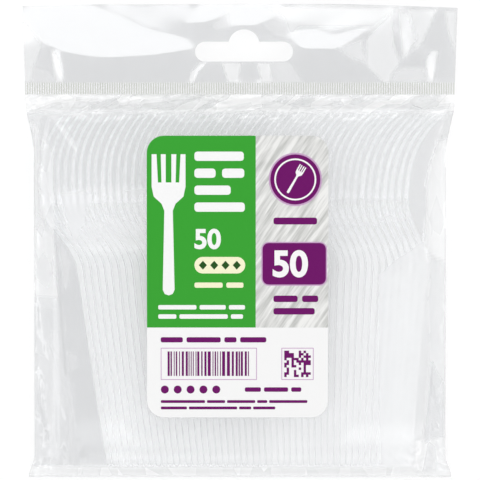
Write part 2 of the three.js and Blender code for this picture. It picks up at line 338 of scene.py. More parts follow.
def new_material(name: str) -> tuple[bpy.types.Material, Graph]:
    """Make an empty node material.

    Args:
        name: Its name.

    Returns:
        The material and its graph.
    """
    material = bpy.data.materials.new(name)
    material.use_nodes = True
    return material, Graph(material.node_tree)


def let_lamps_through(graph: Graph, shader: Signal, share: float) -> Signal:
    """Let lamps shine through a clear surface, as they do through thin clear plastic.

    Args:
        graph: The material's graph.
        shader: What the surface shows.
        share: Share of a lamp's light that passes.

    Returns:
        The shader, clear to rays from lamps.
    """
    from_lamp = graph.node("ShaderNodeLightPath", out="Is Shadow Ray")
    return graph.blend(from_lamp, shader, graph.shader("Transparent", (share, share, share)))


@dataclass(frozen=True)
class FilmFinish:
    """Clear glossy packing film: mostly see-through, with a soft mirror gloss on its folds, patches of
    milkiness that also carry painted reflections, painted shade in dark creases and along the seal's
    ribs, and painted highlights on the gathered folds.
    """

    name: str = "clear_film"
    tint: Colour = (0.903, 0.907, 0.913)
    steep_tint: Colour = (0.72, 0.724, 0.73)
    # Painted reflection: this diffuse colour shows the patches of milkiness, which also stand in for lamp
    # reflections.
    milk_and_highlight_colour: Colour = (0.98, 0.983, 0.988)
    # Painted highlight colour of the gathered folds under the seal.
    fold_highlight_colour: Colour = (0.985, 0.987, 0.99)
    gloss: float = 0.083
    edge_gloss: float = 0.5
    roughness: float = 0.15
    haze: float = 0.02
    haze_scale: float = 60
    haze_stretch: Colour = (1, 0.6, 1)
    most_milk_and_light: float = 0.9
    break_cells: Colour = (140, 62, 1)
    break_turn: float = -0.12
    # Painted highlight: how much of it the gathered folds carry.
    gather_highlight: float = 0.6
    gather_start: Point = (62.0, 65.0)
    gather_end: Point = (72.6, 73.0)
    fold_cells: tuple[tuple[Colour, float], ...] = (((38, 170, 1), -0.22), ((85, 260, 1), -0.45))
    lamp_share: float = 0.94
    rib_pitch: float = 0.0
    # Painted shade in stripes along the seal's ribs.
    rib_painted_shade: float = 0.75

    def _body(self, graph: Graph, facing: Signal) -> Signal:
        """What is seen through the film: clear when seen straight on, and greyer on steep folds, with
        painted shade in dark creases and in stripes along the seal's ribs.

        Args:
            graph: The material's graph.
            facing: 0 where the film is seen straight on, 1 where it is seen along its surface.

        Returns:
            The see-through shader.
        """
        # Painted shade: where the point attribute is below 0, the film turns to its darker steep tint,
        # for dark creases.
        share = facing**3 + (graph.attribute("milk") * -1.0).math("MAXIMUM", 0.0)
        if self.rib_pitch:
            x, _, _ = graph.position()
            # Painted shade in stripes that follow the seal's ribs.
            wave = (x * (2 * math.pi / self.rib_pitch)).math("SINE") * 0.5 + 0.5
            share = share + wave**2 * self.rib_painted_shade
        clear, steep = (graph.shader("Transparent", tint) for tint in (self.tint, self.steep_tint))
        return graph.blend(share.math("MINIMUM", 1.0), clear, steep)

    def _milk(self, graph: Graph) -> Signal:
        """The film's milkiness: a faint cloud, and patches of milkiness that also carry painted
        reflections.

        Args:
            graph: The material's graph.

        Returns:
            Share of milkiness and painted reflection.
        """
        cloud = graph.noise(self.haze_scale, 3, self.haze_stretch) * (2 * self.haze)
        breaks = graph.cells(self.break_cells, self.break_turn) * 2.0 - 1.0
        # Painted reflection: positive values of the point attribute give milkiness and painted
        # reflections.
        milk = graph.attribute("milk").math("MAXIMUM", 0.0)
        patches = milk * (graph.attribute("broken") * breaks + 1.0)
        return (cloud + patches).math("MINIMUM", self.most_milk_and_light)

    def _gather_highlights(self, graph: Graph) -> Signal:
        """Share of painted highlight on the broken folds under the seal, and 0 elsewhere.

        Args:
            graph: The material's graph.

        Returns:
            Share of painted highlight.
        """
        _, y, _ = graph.position()
        gather = graph.rise(y, self.gather_start, (0.0, self.gather_highlight))
        below = graph.rise(y, self.gather_end, (1.0, 0.0), "LINEAR")
        broad, fine = (graph.cells(scale, turn) for scale, turn in self.fold_cells)
        return (gather * below * (broad + fine)).math("MINIMUM", self.most_milk_and_light)

    def build(self) -> bpy.types.Material:
        """Make the material.

        Returns:
            The film's material.
        """
        material, graph = new_material(self.name)
        facing = graph.facing()
        # Painted reflection: a white diffuse layer where the film has patches of milkiness.
        milk_and_highlight = graph.shader("Diffuse", self.milk_and_highlight_colour)
        # Painted highlight: a white diffuse layer on the gathered folds under the seal.
        white = graph.shader("Diffuse", self.fold_highlight_colour)
        shine = graph.shader("Glossy", WHITE, self.roughness)
        body = graph.blend(self._milk(graph), self._body(graph, facing), milk_and_highlight)
        body = graph.blend(self._gather_highlights(graph), body, white)
        film = graph.blend(facing**5 * self.edge_gloss + self.gloss, body, shine)
        graph.surface(let_lamps_through(graph, film, self.lamp_share))
        return material


@dataclass(frozen=True)
class ForkFinish:
    """Clear moulded plastic, seen through a stack of edges: pale, glossy and half see-through, with a
    painted highlight of more white plastic on the handles' upward-facing faces.
    """

    name: str = "clear_plastic"
    colour: Colour = (0.98, 0.982, 0.988)
    clear_tint: Colour = (0.993, 0.994, 0.995)
    cover: float = 0.21
    edge_cover: float = 0.32
    gloss: float = 0.023
    edge_gloss: float = 0.28
    roughness: float = 0.2
    core_roughness: float = 0.3
    ior: float = 1.57
    flow_scale: float = 60
    flow_stretch: Colour = (1, 0.1, 1)
    flow_cover: float = 0.03
    flow_shade: float = 0.015
    flow_roughness: float = 0.1
    # Painted highlight: extra white plastic on the handles' upward-facing faces.
    handle_top_highlight: float = 0.42
    handle_end: Point = (96.0, 130.0)
    handle_up: Point = (0.4, 0.95)
    tine_share: float = 0.28
    tine_start: Point = (126.0, 140.0)
    lamp_share: float = 0.988

    def _handle_top_highlight(self, graph: Graph) -> Signal:
        """Mask of the painted highlight: 1 on the upper edges of the handle, where they face up, and 0
        elsewhere.
        """
        _, along, _ = graph.position()
        normal = graph.node("ShaderNodeNewGeometry", out="Normal")
        up = graph.node("ShaderNodeSeparateXYZ", None, {0: normal}, out="Z")
        return graph.rise(along, self.handle_end, (1.0, 0.0)) * graph.rise(up, self.handle_up)

    def build(self) -> bpy.types.Material:
        """Make the material.

        Returns:
            The forks' material.
        """
        material, graph = new_material(self.name)
        facing = graph.facing()
        flow = graph.noise(self.flow_scale, 2, self.flow_stretch)
        cover = facing**3 * self.edge_cover + flow * self.flow_cover + (self.cover - self.flow_cover / 2)
        _, along, _ = graph.position()
        tines = graph.rise(along, self.tine_start, (1.0, self.tine_share))
        # Painted highlight: upward-facing handle faces turn whiter.
        cover = cover * tines + self._handle_top_highlight(graph) * self.handle_top_highlight
        shares = (1 - self.flow_shade, 1 + self.flow_shade)
        deep, pale = (tuple(min(1.0, share * c) for c in self.colour) for share in shares)
        sockets = {
            "Base Color": graph.mix(flow, deep, pale),
            "Roughness": flow * self.flow_roughness + self.core_roughness,
            "IOR": self.ior,
            "Specular IOR Level": 0.5,
        }
        plastic = graph.node("ShaderNodeBsdfPrincipled", None, sockets)
        clear = graph.shader("Transparent", self.clear_tint)
        shine = graph.shader("Glossy", WHITE, self.roughness)
        mirror = facing**4 * self.edge_gloss + self.gloss
        shown = graph.blend(mirror, graph.blend(cover, clear, plastic), shine)
        graph.surface(let_lamps_through(graph, shown, self.lamp_share))
        return material


@dataclass(frozen=True)
class Coating:
    """Coated paper under a print: a fine grain and a soft sheen."""

    grain_scale: float = 900
    roughness: float = 0.32
    roughness_spread: float = 0.1
    sheen: float = 0.12
    relief: float = 0.00002
    relief_share: float = 0.3

    def grain(self, graph: Graph) -> Signal:
        """The paper's grain, of 0 to 1."""
        return graph.noise(self.grain_scale, 3)

    def shader(self, graph: Graph, colour: Signal) -> Signal:
        """Printed paper.

        Args:
            graph: The material's graph.
            colour: Colour of the print.

        Returns:
            The paper's shader.
        """
        grain = self.grain(graph)
        sockets = {
            "Base Color": colour,
            "Specular IOR Level": self.sheen,
            "Roughness": grain * self.roughness_spread + (self.roughness - self.roughness_spread / 2),
            "Normal": graph.bump(grain, self.relief, self.relief_share),
        }
        return graph.node("ShaderNodeBsdfPrincipled", None, sockets)


@dataclass(frozen=True)
class InkFinish:
    """One printed ink on coated paper, with a faint unevenness."""

    name: str
    colour: Colour
    level: float = PRINT_LEVEL
    unevenness: float = 0.03
    coating: Coating = Coating()

    def build(self) -> bpy.types.Material:
        """Make the material.

        Returns:
            The ink's material.
        """
        material, graph = new_material(self.name)
        shares = (1 - self.unevenness, 1 + self.unevenness)
        deep, pale = (tuple(share * self.level * c for c in self.colour) for share in shares)
        tone = graph.mix(self.coating.grain(graph), deep, pale)
        graph.surface(self.coating.shader(graph, tone))
        return material


@dataclass(frozen=True)
class CardFinish:
    """Coated label card: white, with a green field and a pale field of glassy streaks at its top."""

    name: str = "label_card"
    paper: Colour = linear(252, 252, 252)
    green: Colour = linear(59, 166, 53)
    streaks: tuple[tuple[float, Colour], ...] = (
        (0.36, linear(196, 197, 194)),
        (0.52, linear(228, 228, 226)),
        (0.62, linear(246, 246, 244)),
    )
    streak_run: Point = (0.57, 0.82)
    streak_scale: Point = (0.42, 0.035)
    split_x: float = 7.8
    split_y: float = -43.5
    level: float = PRINT_LEVEL
    lamp_share: float = 0.75
    coating: Coating = Coating()

    def shade(self, colour: Colour) -> Colour:
        """A print colour at the level of the print."""
        return tuple(self.level * channel for channel in colour)

    def _streaks(self, graph: Graph, x: Signal, y: Signal) -> Signal:
        """Diagonal streaks of grey.

        Args:
            graph: The material's graph.
            x: Place across the label.
            y: Place along it.

        Returns:
            The streaks' colour.
        """
        run_x, run_y = self.streak_run
        across = (x * run_y + y * -run_x) * self.streak_scale[0]
        along = (x * run_x + y * run_y) * self.streak_scale[1]
        place = graph.node("ShaderNodeCombineXYZ", None, {0: across, 1: along, 2: 0.0})
        sockets = {"Vector": place, "Scale": 1.0, "Detail": 3.0, "Roughness": 0.6}
        streak = graph.node("ShaderNodeTexNoise", None, sockets)
        stops = [(position, self.shade(grey)) for position, grey in self.streaks]
        return graph.node("ShaderNodeValToRGB", {"stops": stops}, {"Fac": streak})

    def build(self) -> bpy.types.Material:
        """Make the material.

        Returns:
            The card's material.
        """
        material, graph = new_material(self.name)
        x, y, _ = graph.position()
        upper = graph.mix(x < self.split_x, self._streaks(graph, x, y), self.shade(self.green))
        tone = graph.mix(y > self.split_y, self.shade(self.paper), upper)
        card = self.coating.shader(graph, tone)
        graph.surface(let_lamps_through(graph, card, self.lamp_share))
        return material


class Crumple:
    """Seeded gradient noise. Its creases run where the noise crosses zero."""

    LATTICE = 1024
    REACH = 1.4

    def __init__(self, seed: int) -> None:
        """Draw the gradients for a seed."""
        draw = np.random.default_rng(seed)
        self.order = draw.permutation(self.LATTICE)
        angles = draw.uniform(0, 2 * math.pi, self.LATTICE)
        self.gradients = np.stack([np.cos(angles), np.sin(angles)], axis=1)

    def _corner(self, cell_x: Array, cell_y: Array, x: Array, y: Array) -> Array:
        """Share of one lattice corner.

        Args:
            cell_x: Column of the corner.
            cell_y: Row of the corner.
            x: Distance from the corner along X.
            y: Distance from the corner along Y.

        Returns:
            The corner's gradient times the distance.
        """
        pick = self.order[(self.order[cell_x % self.LATTICE] + cell_y) % self.LATTICE]
        slope = self.gradients[pick]
        return slope[..., 0] * x + slope[..., 1] * y

    def smooth(self, x: Array, y: Array) -> Array:
        """Smooth noise.

        Args:
            x: First coordinate, in waves.
            y: Second coordinate, in waves.

        Returns:
            Values of about -1 to 1.
        """
        cell_x = np.floor(x).astype(int)
        cell_y = np.floor(y).astype(int)
        part_x = x - cell_x
        part_y = y - cell_y
        fade_x = part_x**3 * (part_x * (part_x * 6 - 15) + 10)
        fade_y = part_y**3 * (part_y * (part_y * 6 - 15) + 10)
        low = self._corner(cell_x, cell_y, part_x, part_y) * (1 - fade_x)
        low += self._corner(cell_x + 1, cell_y, part_x - 1, part_y) * fade_x
        high = self._corner(cell_x, cell_y + 1, part_x, part_y - 1) * (1 - fade_x)
        high += self._corner(cell_x + 1, cell_y + 1, part_x - 1, part_y - 1) * fade_x
        return self.REACH * (low * (1 - fade_y) + high * fade_y)

    def creased(self, x: Array, y: Array) -> Array:
        """Folds with sharp valleys, from 0 in a crease to about 1 between creases."""
        return np.abs(self.smooth(x, y)) * 2.0


def polyline(points: Sequence[Point], at: Array) -> Array:
    """Value of a line of points, held flat beyond its ends."""
    return np.interp(at, [p[0] for p in points], [p[1] for p in points])


def taut_line(points: Array, side: int) -> list[Point]:
    """The line of a taut film over or under a set of points.

    Args:
        points: Rows of place and value.
        side: 1 for a film over the points, -1 for one under them.

    Returns:
        The corners of the line, in order.
    """
    ordered = points[np.lexsort((-side * points[:, 1], points[:, 0]))]
    chain: list[Point] = []
    for at, value in ordered:
        if chain and chain[-1][0] == at:
            continue
        while len(chain) > 1:
            (a0, a1), (b0, b1) = chain[-2:]
            if side * ((b0 - a0) * (value - a1) - (b1 - a1) * (at - a0)) < 0:
                break
            chain.pop()
        chain.append((float(at), float(value)))
    return chain


def add_mesh(name: str, points: Array, faces: Iterable[Sequence[int]]) -> bpy.types.Object:
    """Make a mesh object from millimetre points.

    Args:
        name: Name of the object and its mesh.
        points: Rows of X, Y and Z in millimetres.
        faces: Point numbers of each face.

    Returns:
        The new object, linked to the scene.
    """
    mesh = bpy.data.meshes.new(name)
    mesh.from_pydata((np.asarray(points) * MM).tolist(), [], [list(map(int, face)) for face in faces])
    mesh.validate()
    piece = bpy.data.objects.new(name, mesh)
    bpy.context.scene.collection.objects.link(piece)
    return piece


def smooth_faces(mesh: bpy.types.Mesh, sharp_degrees: float) -> None:
    """Shade a mesh smooth, apart from edges sharper than an angle."""
    mesh.shade_smooth()
    mesh.set_sharp_from_angle(angle=math.radians(sharp_degrees))


@dataclass
class PlasticFork:
    """One moulded fork: rounded handle with a recess under it, neck, bowl and tines."""

    handle_length: float = 100
    handle_width: float = 14
    handle_depth: float = 2.68
    handle_bend: float = 2
    butt_radius: float = 5
    channel_depth: float = 1.1
    channel_end_wall: float = 5
    channel_wall_slope: Point = (0.3, 0.6)
    channel_end_slope: Point = (1.5, 2)
    rim_width: float = 1.9
    neck_length: float = 34
    neck_width: float = 9
    bowl_drop: float = 13
    bowl_width: float = 25.5
    bowl_depth: float = 2.2
    tine_count: int = 4
    tine_length: float = 43
    tine_rise: float = 14.5
    tine_gap: float = 2.9
    tip_width: float = 2
    tip_depth: float = 1.2
    tip_inset: float = 1.2
    tip_rows: tuple[float, ...] = (0.8, 0.2, 0)
    point_share: float = 0.25
    edge_round: float = 0.22
    edge_share: float = 0.28
    shoulder_share: float = 0.9
    butt_share: float = 0.4
    butt_rows: tuple[float, ...] = (0, 0.35, 1.1, 2.4)
    butt_run: float = 1.6
    handle_span: Point = (12, 4)
    handle_rows: int = 6
    bend_run: float = 1.8
    neck_rows: int = 14
    flare_steps: int = 30
    tine_rows: int = 13
    tip_share: float = 0.55
    sharp_degrees: float = 48

    @property
    def bowl_start(self) -> float:
        """Distance from the butt to the roots of the tines."""
        return self.handle_length + self.neck_length

    @property
    def length(self) -> float:
        """Straight length of the fork."""
        return self.bowl_start + self.tine_length

    @property
    def flare(self) -> tuple[float, float]:
        """Where the neck starts to widen and where it has the bowl's width."""
        return self.handle_length + self.neck_length / 6, self.bowl_start - self.neck_length / 6

    @property
    def tilt(self) -> float:
        """Turn that sets both the bowl's edge and the butt's edge on one plane."""
        rise = (self.bowl_width - self.handle_width) / 2
        return math.atan2(rise, self.flare[1] - self.butt_radius)

    def profile(self, along: float) -> tuple[float, float]:
        """Height and slope of the middle surface.

        Args:
            along: Distance from the butt.

        Returns:
            Height and slope there.
        """
        if along < self.handle_length:
            rest = 1 - along / self.handle_length
            return self.handle_bend * rest**2, -2 * self.handle_bend * rest / self.handle_length
        if along < self.bowl_start:
            part = (along - self.handle_length) / self.neck_length
            slope = -6 * self.bowl_drop * part * (1 - part) / self.neck_length
            return -self.bowl_drop * part**2 * (3 - 2 * part), slope
        part = (along - self.bowl_start) / self.tine_length
        return self.tine_rise * part**3 - self.bowl_drop, 3 * self.tine_rise * part**2 / self.tine_length

    def depth(self, along: float) -> float:
        """Depth of the plastic across the middle surface at a distance along the fork."""
        places = [self.handle_length, self.bowl_start, self.length]
        return float(np.interp(along, places, [self.handle_depth, self.bowl_depth, self.tip_depth]))

    def half_width(self, along: float) -> float:
        """Half of the fork's width between butt and tine roots."""
        start, end = self.flare
        part = np.linspace(0, 1, self.flare_steps)
        middle = (start + end) / 2
        bend = start * (1 - part) ** 3 + 3 * middle * part * (1 - part) + end * part**3
        width = self.neck_width + (self.bowl_width - self.neck_width) * part**2 * (3 - 2 * part)
        places = [self.butt_radius, *bend]
        half = float(np.interp(along, places, [self.handle_width / 2, *(width / 2)]))
        short = max(0.0, self.butt_radius - along)
        return half - self.butt_radius + math.sqrt(max(0.0, self.butt_radius**2 - short**2))

    def place(self, along: float, across: float, away: float) -> tuple[float, float, float]:
        """A point of the fork in its own frame.

        Args:
            along: Distance from the butt.
            across: Distance from the middle line.
            away: Distance above the middle surface.

        Returns:
            X out of the bowl, Y along the fork and Z across it.
        """
        height, slope = self.profile(along)
        step = away / math.hypot(1, slope)
        return height + step, along - slope * step, across

    def tine(self, index: int, along: float) -> tuple[float, float]:
        """Middle and half width of one tine.

        Args:
            index: Number of the tine.
            along: Distance from the butt.

        Returns:
            Distance of its middle from the fork's middle line, and half its width.
        """
        part = (along - self.bowl_start) / (self.tine_length + self.bowl_drop)
        root_width = (self.bowl_width - (self.tine_count - 1) * self.tine_gap) / self.tine_count
        root = -self.bowl_width / 2 + root_width / 2 + index * (root_width + self.tine_gap)
        span = self.bowl_width - 2 * self.tip_inset - self.tip_width
        tip = span * (index / (self.tine_count - 1) - 0.5)
        half = (root_width + (self.tip_width - root_width) * part) / 2
        left = self.length - along
        point = math.sqrt(max(0.0, 1 - max(0.0, 1 - left / half) ** 2)) if left < half else 1.0
        return root + (tip - root) * part, half * (self.point_share + (1 - self.point_share) * point)

    def _columns(self) -> list[float]:
        """Shares of the half width at which the body's columns run, five for each tine."""
        shares = []
        for index in range(self.tine_count):
            middle, half = self.tine(index, self.bowl_start)
            inner = half - self.edge_round
            shares += [middle - half, middle - inner, middle, middle + inner, middle + half]
        return [2 * share / self.bowl_width for share in shares]

    def _body_rows(self) -> list[float]:
        """Distances along the fork of the rows between butt and tine roots."""
        start, rest = self.handle_span
        butt = [*self.butt_rows, self.butt_radius, self.butt_radius + self.butt_run]
        handle = list(np.linspace(start, self.handle_length - rest, self.handle_rows))
        neck = list(np.linspace(self.handle_length, self.bowl_start, self.neck_rows))
        return butt + handle + [self.handle_length - self.bend_run] + neck

    def _recess(self, along: float, across: float) -> float:
        """Depth of the recess under the handle at a point."""
        wall = self.half_width(along) - self.rim_width
        inner, outer = self.channel_wall_slope
        first, last = self.channel_end_slope
        sides = 1 - smoothstep(wall - inner, wall + outer, abs(across))
        start = smoothstep(self.channel_end_wall, self.channel_end_wall + first, along)
        end = 1 - smoothstep(self.handle_length - last, self.handle_length, along)
        return float(self.channel_depth * sides * start * end)

    def mesh(self, name: str) -> bpy.types.Mesh:
        """Build the fork's mesh in its own frame.

        Args:
            name: Name of the mesh.

        Returns:
            The mesh, in metres.
        """
        points: list[tuple[float, float, float]] = []
        faces: list[tuple[int, ...]] = []
        shares = self._columns()
        last = len(shares) - 1

        def add(along: float, across: float, above: float, below: float) -> int:
            """Add an upper and an under point and give the number of the upper one."""
            points.append(self.place(along, across, above))
            points.append(self.place(along, across, -below))
            return len(points) - 2

        def strip(first: Sequence[int], second: Sequence[int]) -> None:
            """Join two rows of points above and below, and close the strip's two sides."""
            for a, b, c, d in zip(first, first[1:], second[1:], second):
                faces.append((a, b, c, d))
                faces.append((d + 1, c + 1, b + 1, a + 1))
            faces.append((first[0], second[0], second[0] + 1, first[0] + 1))
            faces.append((second[-1], first[-1], first[-1] + 1, second[-1] + 1))

        def cap(row: Sequence[int], forward: bool) -> None:
            """Close a row between its upper and under points."""
            for a, b in zip(row, row[1:]):
                faces.append((a, b, b + 1, a + 1) if forward else (b, a, a + 1, b + 1))

        outer = {0: self.edge_share, 1: self.shoulder_share}
        outer |= {last - column: share for column, share in outer.items()}
        rows = []
        for along in self._body_rows():
            half = self.depth(along) / 2
            thin = self.butt_share + (1 - self.butt_share) * float(smoothstep(0, 1.1, along))
            row = []
            for column, share in enumerate(shares):
                across = share * self.half_width(along)
                above = half * (thin * outer.get(column, 1.0))
                row.append(add(along, across, above, above - self._recess(along, across)))
            rows.append(row)
        for first, second in zip(rows, rows[1:]):
            strip(first, second)
        cap(rows[0], False)
        root = rows[-1]
        for index in range(self.tine_count - 1):
            cap(root[5 * index + 4 : 5 * index + 6], True)
        for index in range(self.tine_count):
            before = root[5 * index : 5 * index + 5]
            steps = np.linspace(self.bowl_start, self.length, self.tine_rows)[1:]
            for along in [*steps[:-1], *(self.length - rest for rest in self.tip_rows)]:
                middle, half_width = self.tine(index, along)
                half = self.depth(along) / 2 * (1 if along < self.length - 0.1 else self.tip_share)
                inner = max(0.3 * half_width, half_width - self.edge_round)
                section = ((half_width, self.edge_share), (inner, self.shoulder_share))
                offsets = [(-at, share) for at, share in section] + [(0.0, 1.0)] + list(reversed(section))
                row = []
                for offset, rounding in offsets:
                    row.append(add(along, middle + offset, half * rounding, half * rounding))
                strip(before, row)
                before = row
            cap(before, True)
        mesh = bpy.data.meshes.new(name)
        mesh.from_pydata((np.array(points) * MM).tolist(), [], faces)
        mesh.validate()
        mesh.update()
        shell = bmesh.new()
        shell.from_mesh(mesh)
        bmesh.ops.recalc_face_normals(shell, faces=shell.faces)
        shell.to_mesh(mesh)
        shell.free()
        smooth_faces(mesh, self.sharp_degrees)
        return mesh


@dataclass
class ForkRow:
    """The nested row of forks: each stands where its solid stands."""

    fork: PlasticFork = field(default_factory=PlasticFork)
    finishes: tuple[ForkFinish, ...] = (
        ForkFinish("clear_plastic_soft", cover=0.18, edge_cover=0.28, gloss=0.012),
        ForkFinish("clear_plastic_plain"),
        ForkFinish("clear_plastic_bright", cover=0.24, edge_cover=0.38, gloss=0.035, roughness=0.14),
    )
    count: int = 50
    lean_left: float = math.radians(7.4)
    lean_right: float = math.radians(-5.5)
    unevenness: float = math.radians(0.08)

    def lean(self, index: int) -> float:
        """Turn of one fork about Z."""
        return self.lean_left + (self.lean_right - self.lean_left) * index / (self.count - 1)

    def _seat(self, solid: bpy.types.Object, turn: Matrix) -> Vector:
        """Where the butt's middle point of a solid fork lies.

        Args:
            solid: The solid fork.
            turn: The fork's rotation.

        Returns:
            The place of the fork's own origin, in metres.
        """
        flat = np.empty(3 * len(solid.data.vertices))
        solid.data.vertices.foreach_get("co", flat)
        back = np.array(turn.to_3x3().inverted())
        local = flat.reshape(-1, 3) @ back.T
        low, high = local.min(axis=0), local.max(axis=0)
        belly = self.fork.place(self.fork.bowl_start, 0, -self.fork.bowl_depth / 2)[0] * MM
        butt = self.fork.place(0, 0, -self.fork.handle_depth / 2)[1] * MM
        own = Vector((low[0] - belly, low[1] - butt, (low[2] + high[2]) / 2))
        return turn.to_3x3() @ own

    def build(self, nodes: dict[str, bpy.types.Object]) -> list[bpy.types.Object]:
        """Build and dress every fork of the row.

        Args:
            nodes: The frame's solids by name.

        Returns:
            The new forks.
        """
        mesh = self.fork.mesh("moulded_fork")
        plastics = [finish.build() for finish in self.finishes]
        draw = np.random.default_rng(17)
        forks = []
        for index in range(self.count):
            node = f"fork_{index + 1:02d}"
            tilt = Matrix.Rotation(self.fork.tilt, 4, "X")
            seat = self._seat(nodes[node], Matrix.Rotation(self.lean(index), 4, "Z") @ tilt)
            lean = self.lean(index) + float(draw.uniform(-1, 1)) * self.unevenness
            body = mesh.copy()
            body.transform(Matrix.Rotation(lean, 4, "Z") @ tilt)
            body.materials.append(plastics[int(draw.integers(len(plastics)))])
            piece = bpy.data.objects.new(f"moulded_{node}", body)
            bpy.context.scene.collection.objects.link(piece)
            piece.matrix_world = Matrix.Translation(seat)
            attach(piece, BODY)
            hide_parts(node)
            forks.append(piece)
        LOG.info("%d forks of %d faces", len(forks), len(mesh.polygons))
        return forks


@dataclass(frozen=True)
class Patch:
    """A stretch of the film: its corners and the width of its rim."""

    corners: tuple[Point, ...]
    rim: float = 1.5

    def share(self, x: Array, y: Array) -> Array:
        """How far places lie in the patch.

        Args:
            x: Places across the film.
            y: Places along it.

        Returns:
            1 inside and 0 outside, with a soft rim between.
        """
        inside = np.zeros(x.shape, dtype=bool)
        gap = np.full(x.shape, np.inf)
        for (x0, y0), (x1, y1) in zip(self.corners, self.corners[1:] + self.corners[:1]):
            part = ((x - x0) * (x1 - x0) + (y - y0) * (y1 - y0)) / ((x1 - x0) ** 2 + (y1 - y0) ** 2)
            part = np.clip(part, 0, 1)
            gap = np.minimum(gap, np.hypot(x - x0 - part * (x1 - x0), y - y0 - part * (y1 - y0)))
            if y0 != y1:
                crosses = (y0 > y) != (y1 > y)
                inside ^= crosses & (x < x0 + (y - y0) * (x1 - x0) / (y1 - y0))
        return smoothstep(-self.rim / 2, self.rim / 2, np.where(inside, gap, -gap))


@dataclass(frozen=True)
class Facet:
    """A tilted stretch of the header: corners over the seal, rise along X and Y, and width of its rim."""

    corners: tuple[Point, ...]
    rise: Point
    rim: float = 1.5

    def share(self, x: Array, y: Array) -> Array:
        """How far places over the seal lie in the facet."""
        return Patch(self.corners, self.rim).share(x, y)


@dataclass(frozen=True)
class HazeAndLightPatch:
    """A stretch of milkiness on the film that also carries painted reflection, or painted shade in a dark
    crease where its share is below 0.
    """

    corners: tuple[Point, ...]
    milk: float
    rim: float = 1.5
    broken: float = 0.0


HEADER_FACETS = (
    Facet(((-105, 38.5), (-74, 38.5), (-60, 32.5), (-45, 26), (-27, 22.5), (-24.5, 17), (-32.5, 15.5),
           (-45, 14), (-60, 12.75), (-70, 12.5), (-80, 14), (-90, 16.5), (-98, 19), (-102, 22.5),
           (-105.5, 29.5)), (0, -0.2), 2.2),
    Facet(((-70, 40), (-25, 40), (-29, 30.5), (-27, 23), (-45, 26.5), (-61, 33.5)), (0.02, -0.1), 6),
    Facet(((-94.5, 15.5), (-91, 16.5), (-88, 6.5), (-87, 0), (-91, 0), (-92.5, 7.5)), (0.16, 0)),
    Facet(((-108, 30.5), (-105, 24.5), (-99, 18.5), (-103, 8.5), (-106, 0), (-108, 0)),
          (-0.09, -0.03), 3),
    Facet(((-18.5, 10.5), (-16.5, 10), (-20, 5.5), (-22, 0), (-25, 0), (-23.5, 5.5)), (0.22, -0.05), 1),
    Facet(((-9.5, 10.5), (-1, 10.5), (-1, 0), (-4.5, 0)), (-0.18, 0)),
    Facet(((9, 0), (11.5, 7.5), (16, 10.5), (16.5, 0)), (0.2, 0), 1.2),
    Facet(((-26, 30.5), (-17, 30.5), (-4, 37), (-6, 39.5), (-20, 39.5)), (0, -0.2), 2),
    Facet(((-3.5, 29), (9, 29), (17.5, 34.5), (19, 40), (0, 40)), (0.03, -0.2), 2),
    Facet(((26, 24.5), (30, 27), (38, 27), (47, 22.5), (47, 17), (31.5, 17), (28, 20.5)), (0, -0.2), 2),
    Facet(((47, 23.5), (66, 28.5), (59, 23.5), (47.5, 17)), (0.05, -0.2)),
    Facet(((22.5, 40), (76, 38.5), (73, 29.5), (66, 29), (45, 24.5), (30, 28.5), (22, 32.5)),
          (0, -0.1), 6),
    Facet(((50, 18), (61, 23), (63, 10.5), (56, 13)), (-0.07, -0.05)),
    Facet(((63, 26.5), (75, 35.5), (78, 19), (82, 9.5), (76, 0.5), (70, 2.5), (63.5, 10.5)),
          (0.1, -0.05), 3),
    Facet(((80.5, 38.5), (86.5, 38), (88.5, 18.5), (82.5, 11.5), (80, 23.5)), (-0.16, -0.04), 2),
    Facet(((82, 8.5), (95, 8.5), (94, 0.5), (85, 0.5), (81, 3.5)), (0.06, -0.08), 2),
    Facet(((92.5, 14.5), (98.5, 16.5), (97, 0), (94, 1.5)), (-0.2, 0), 1.2),
    Facet(((87, 38), (99, 37), (94, 27.5), (88, 19.5)), (0.08, -0.08), 3),
)
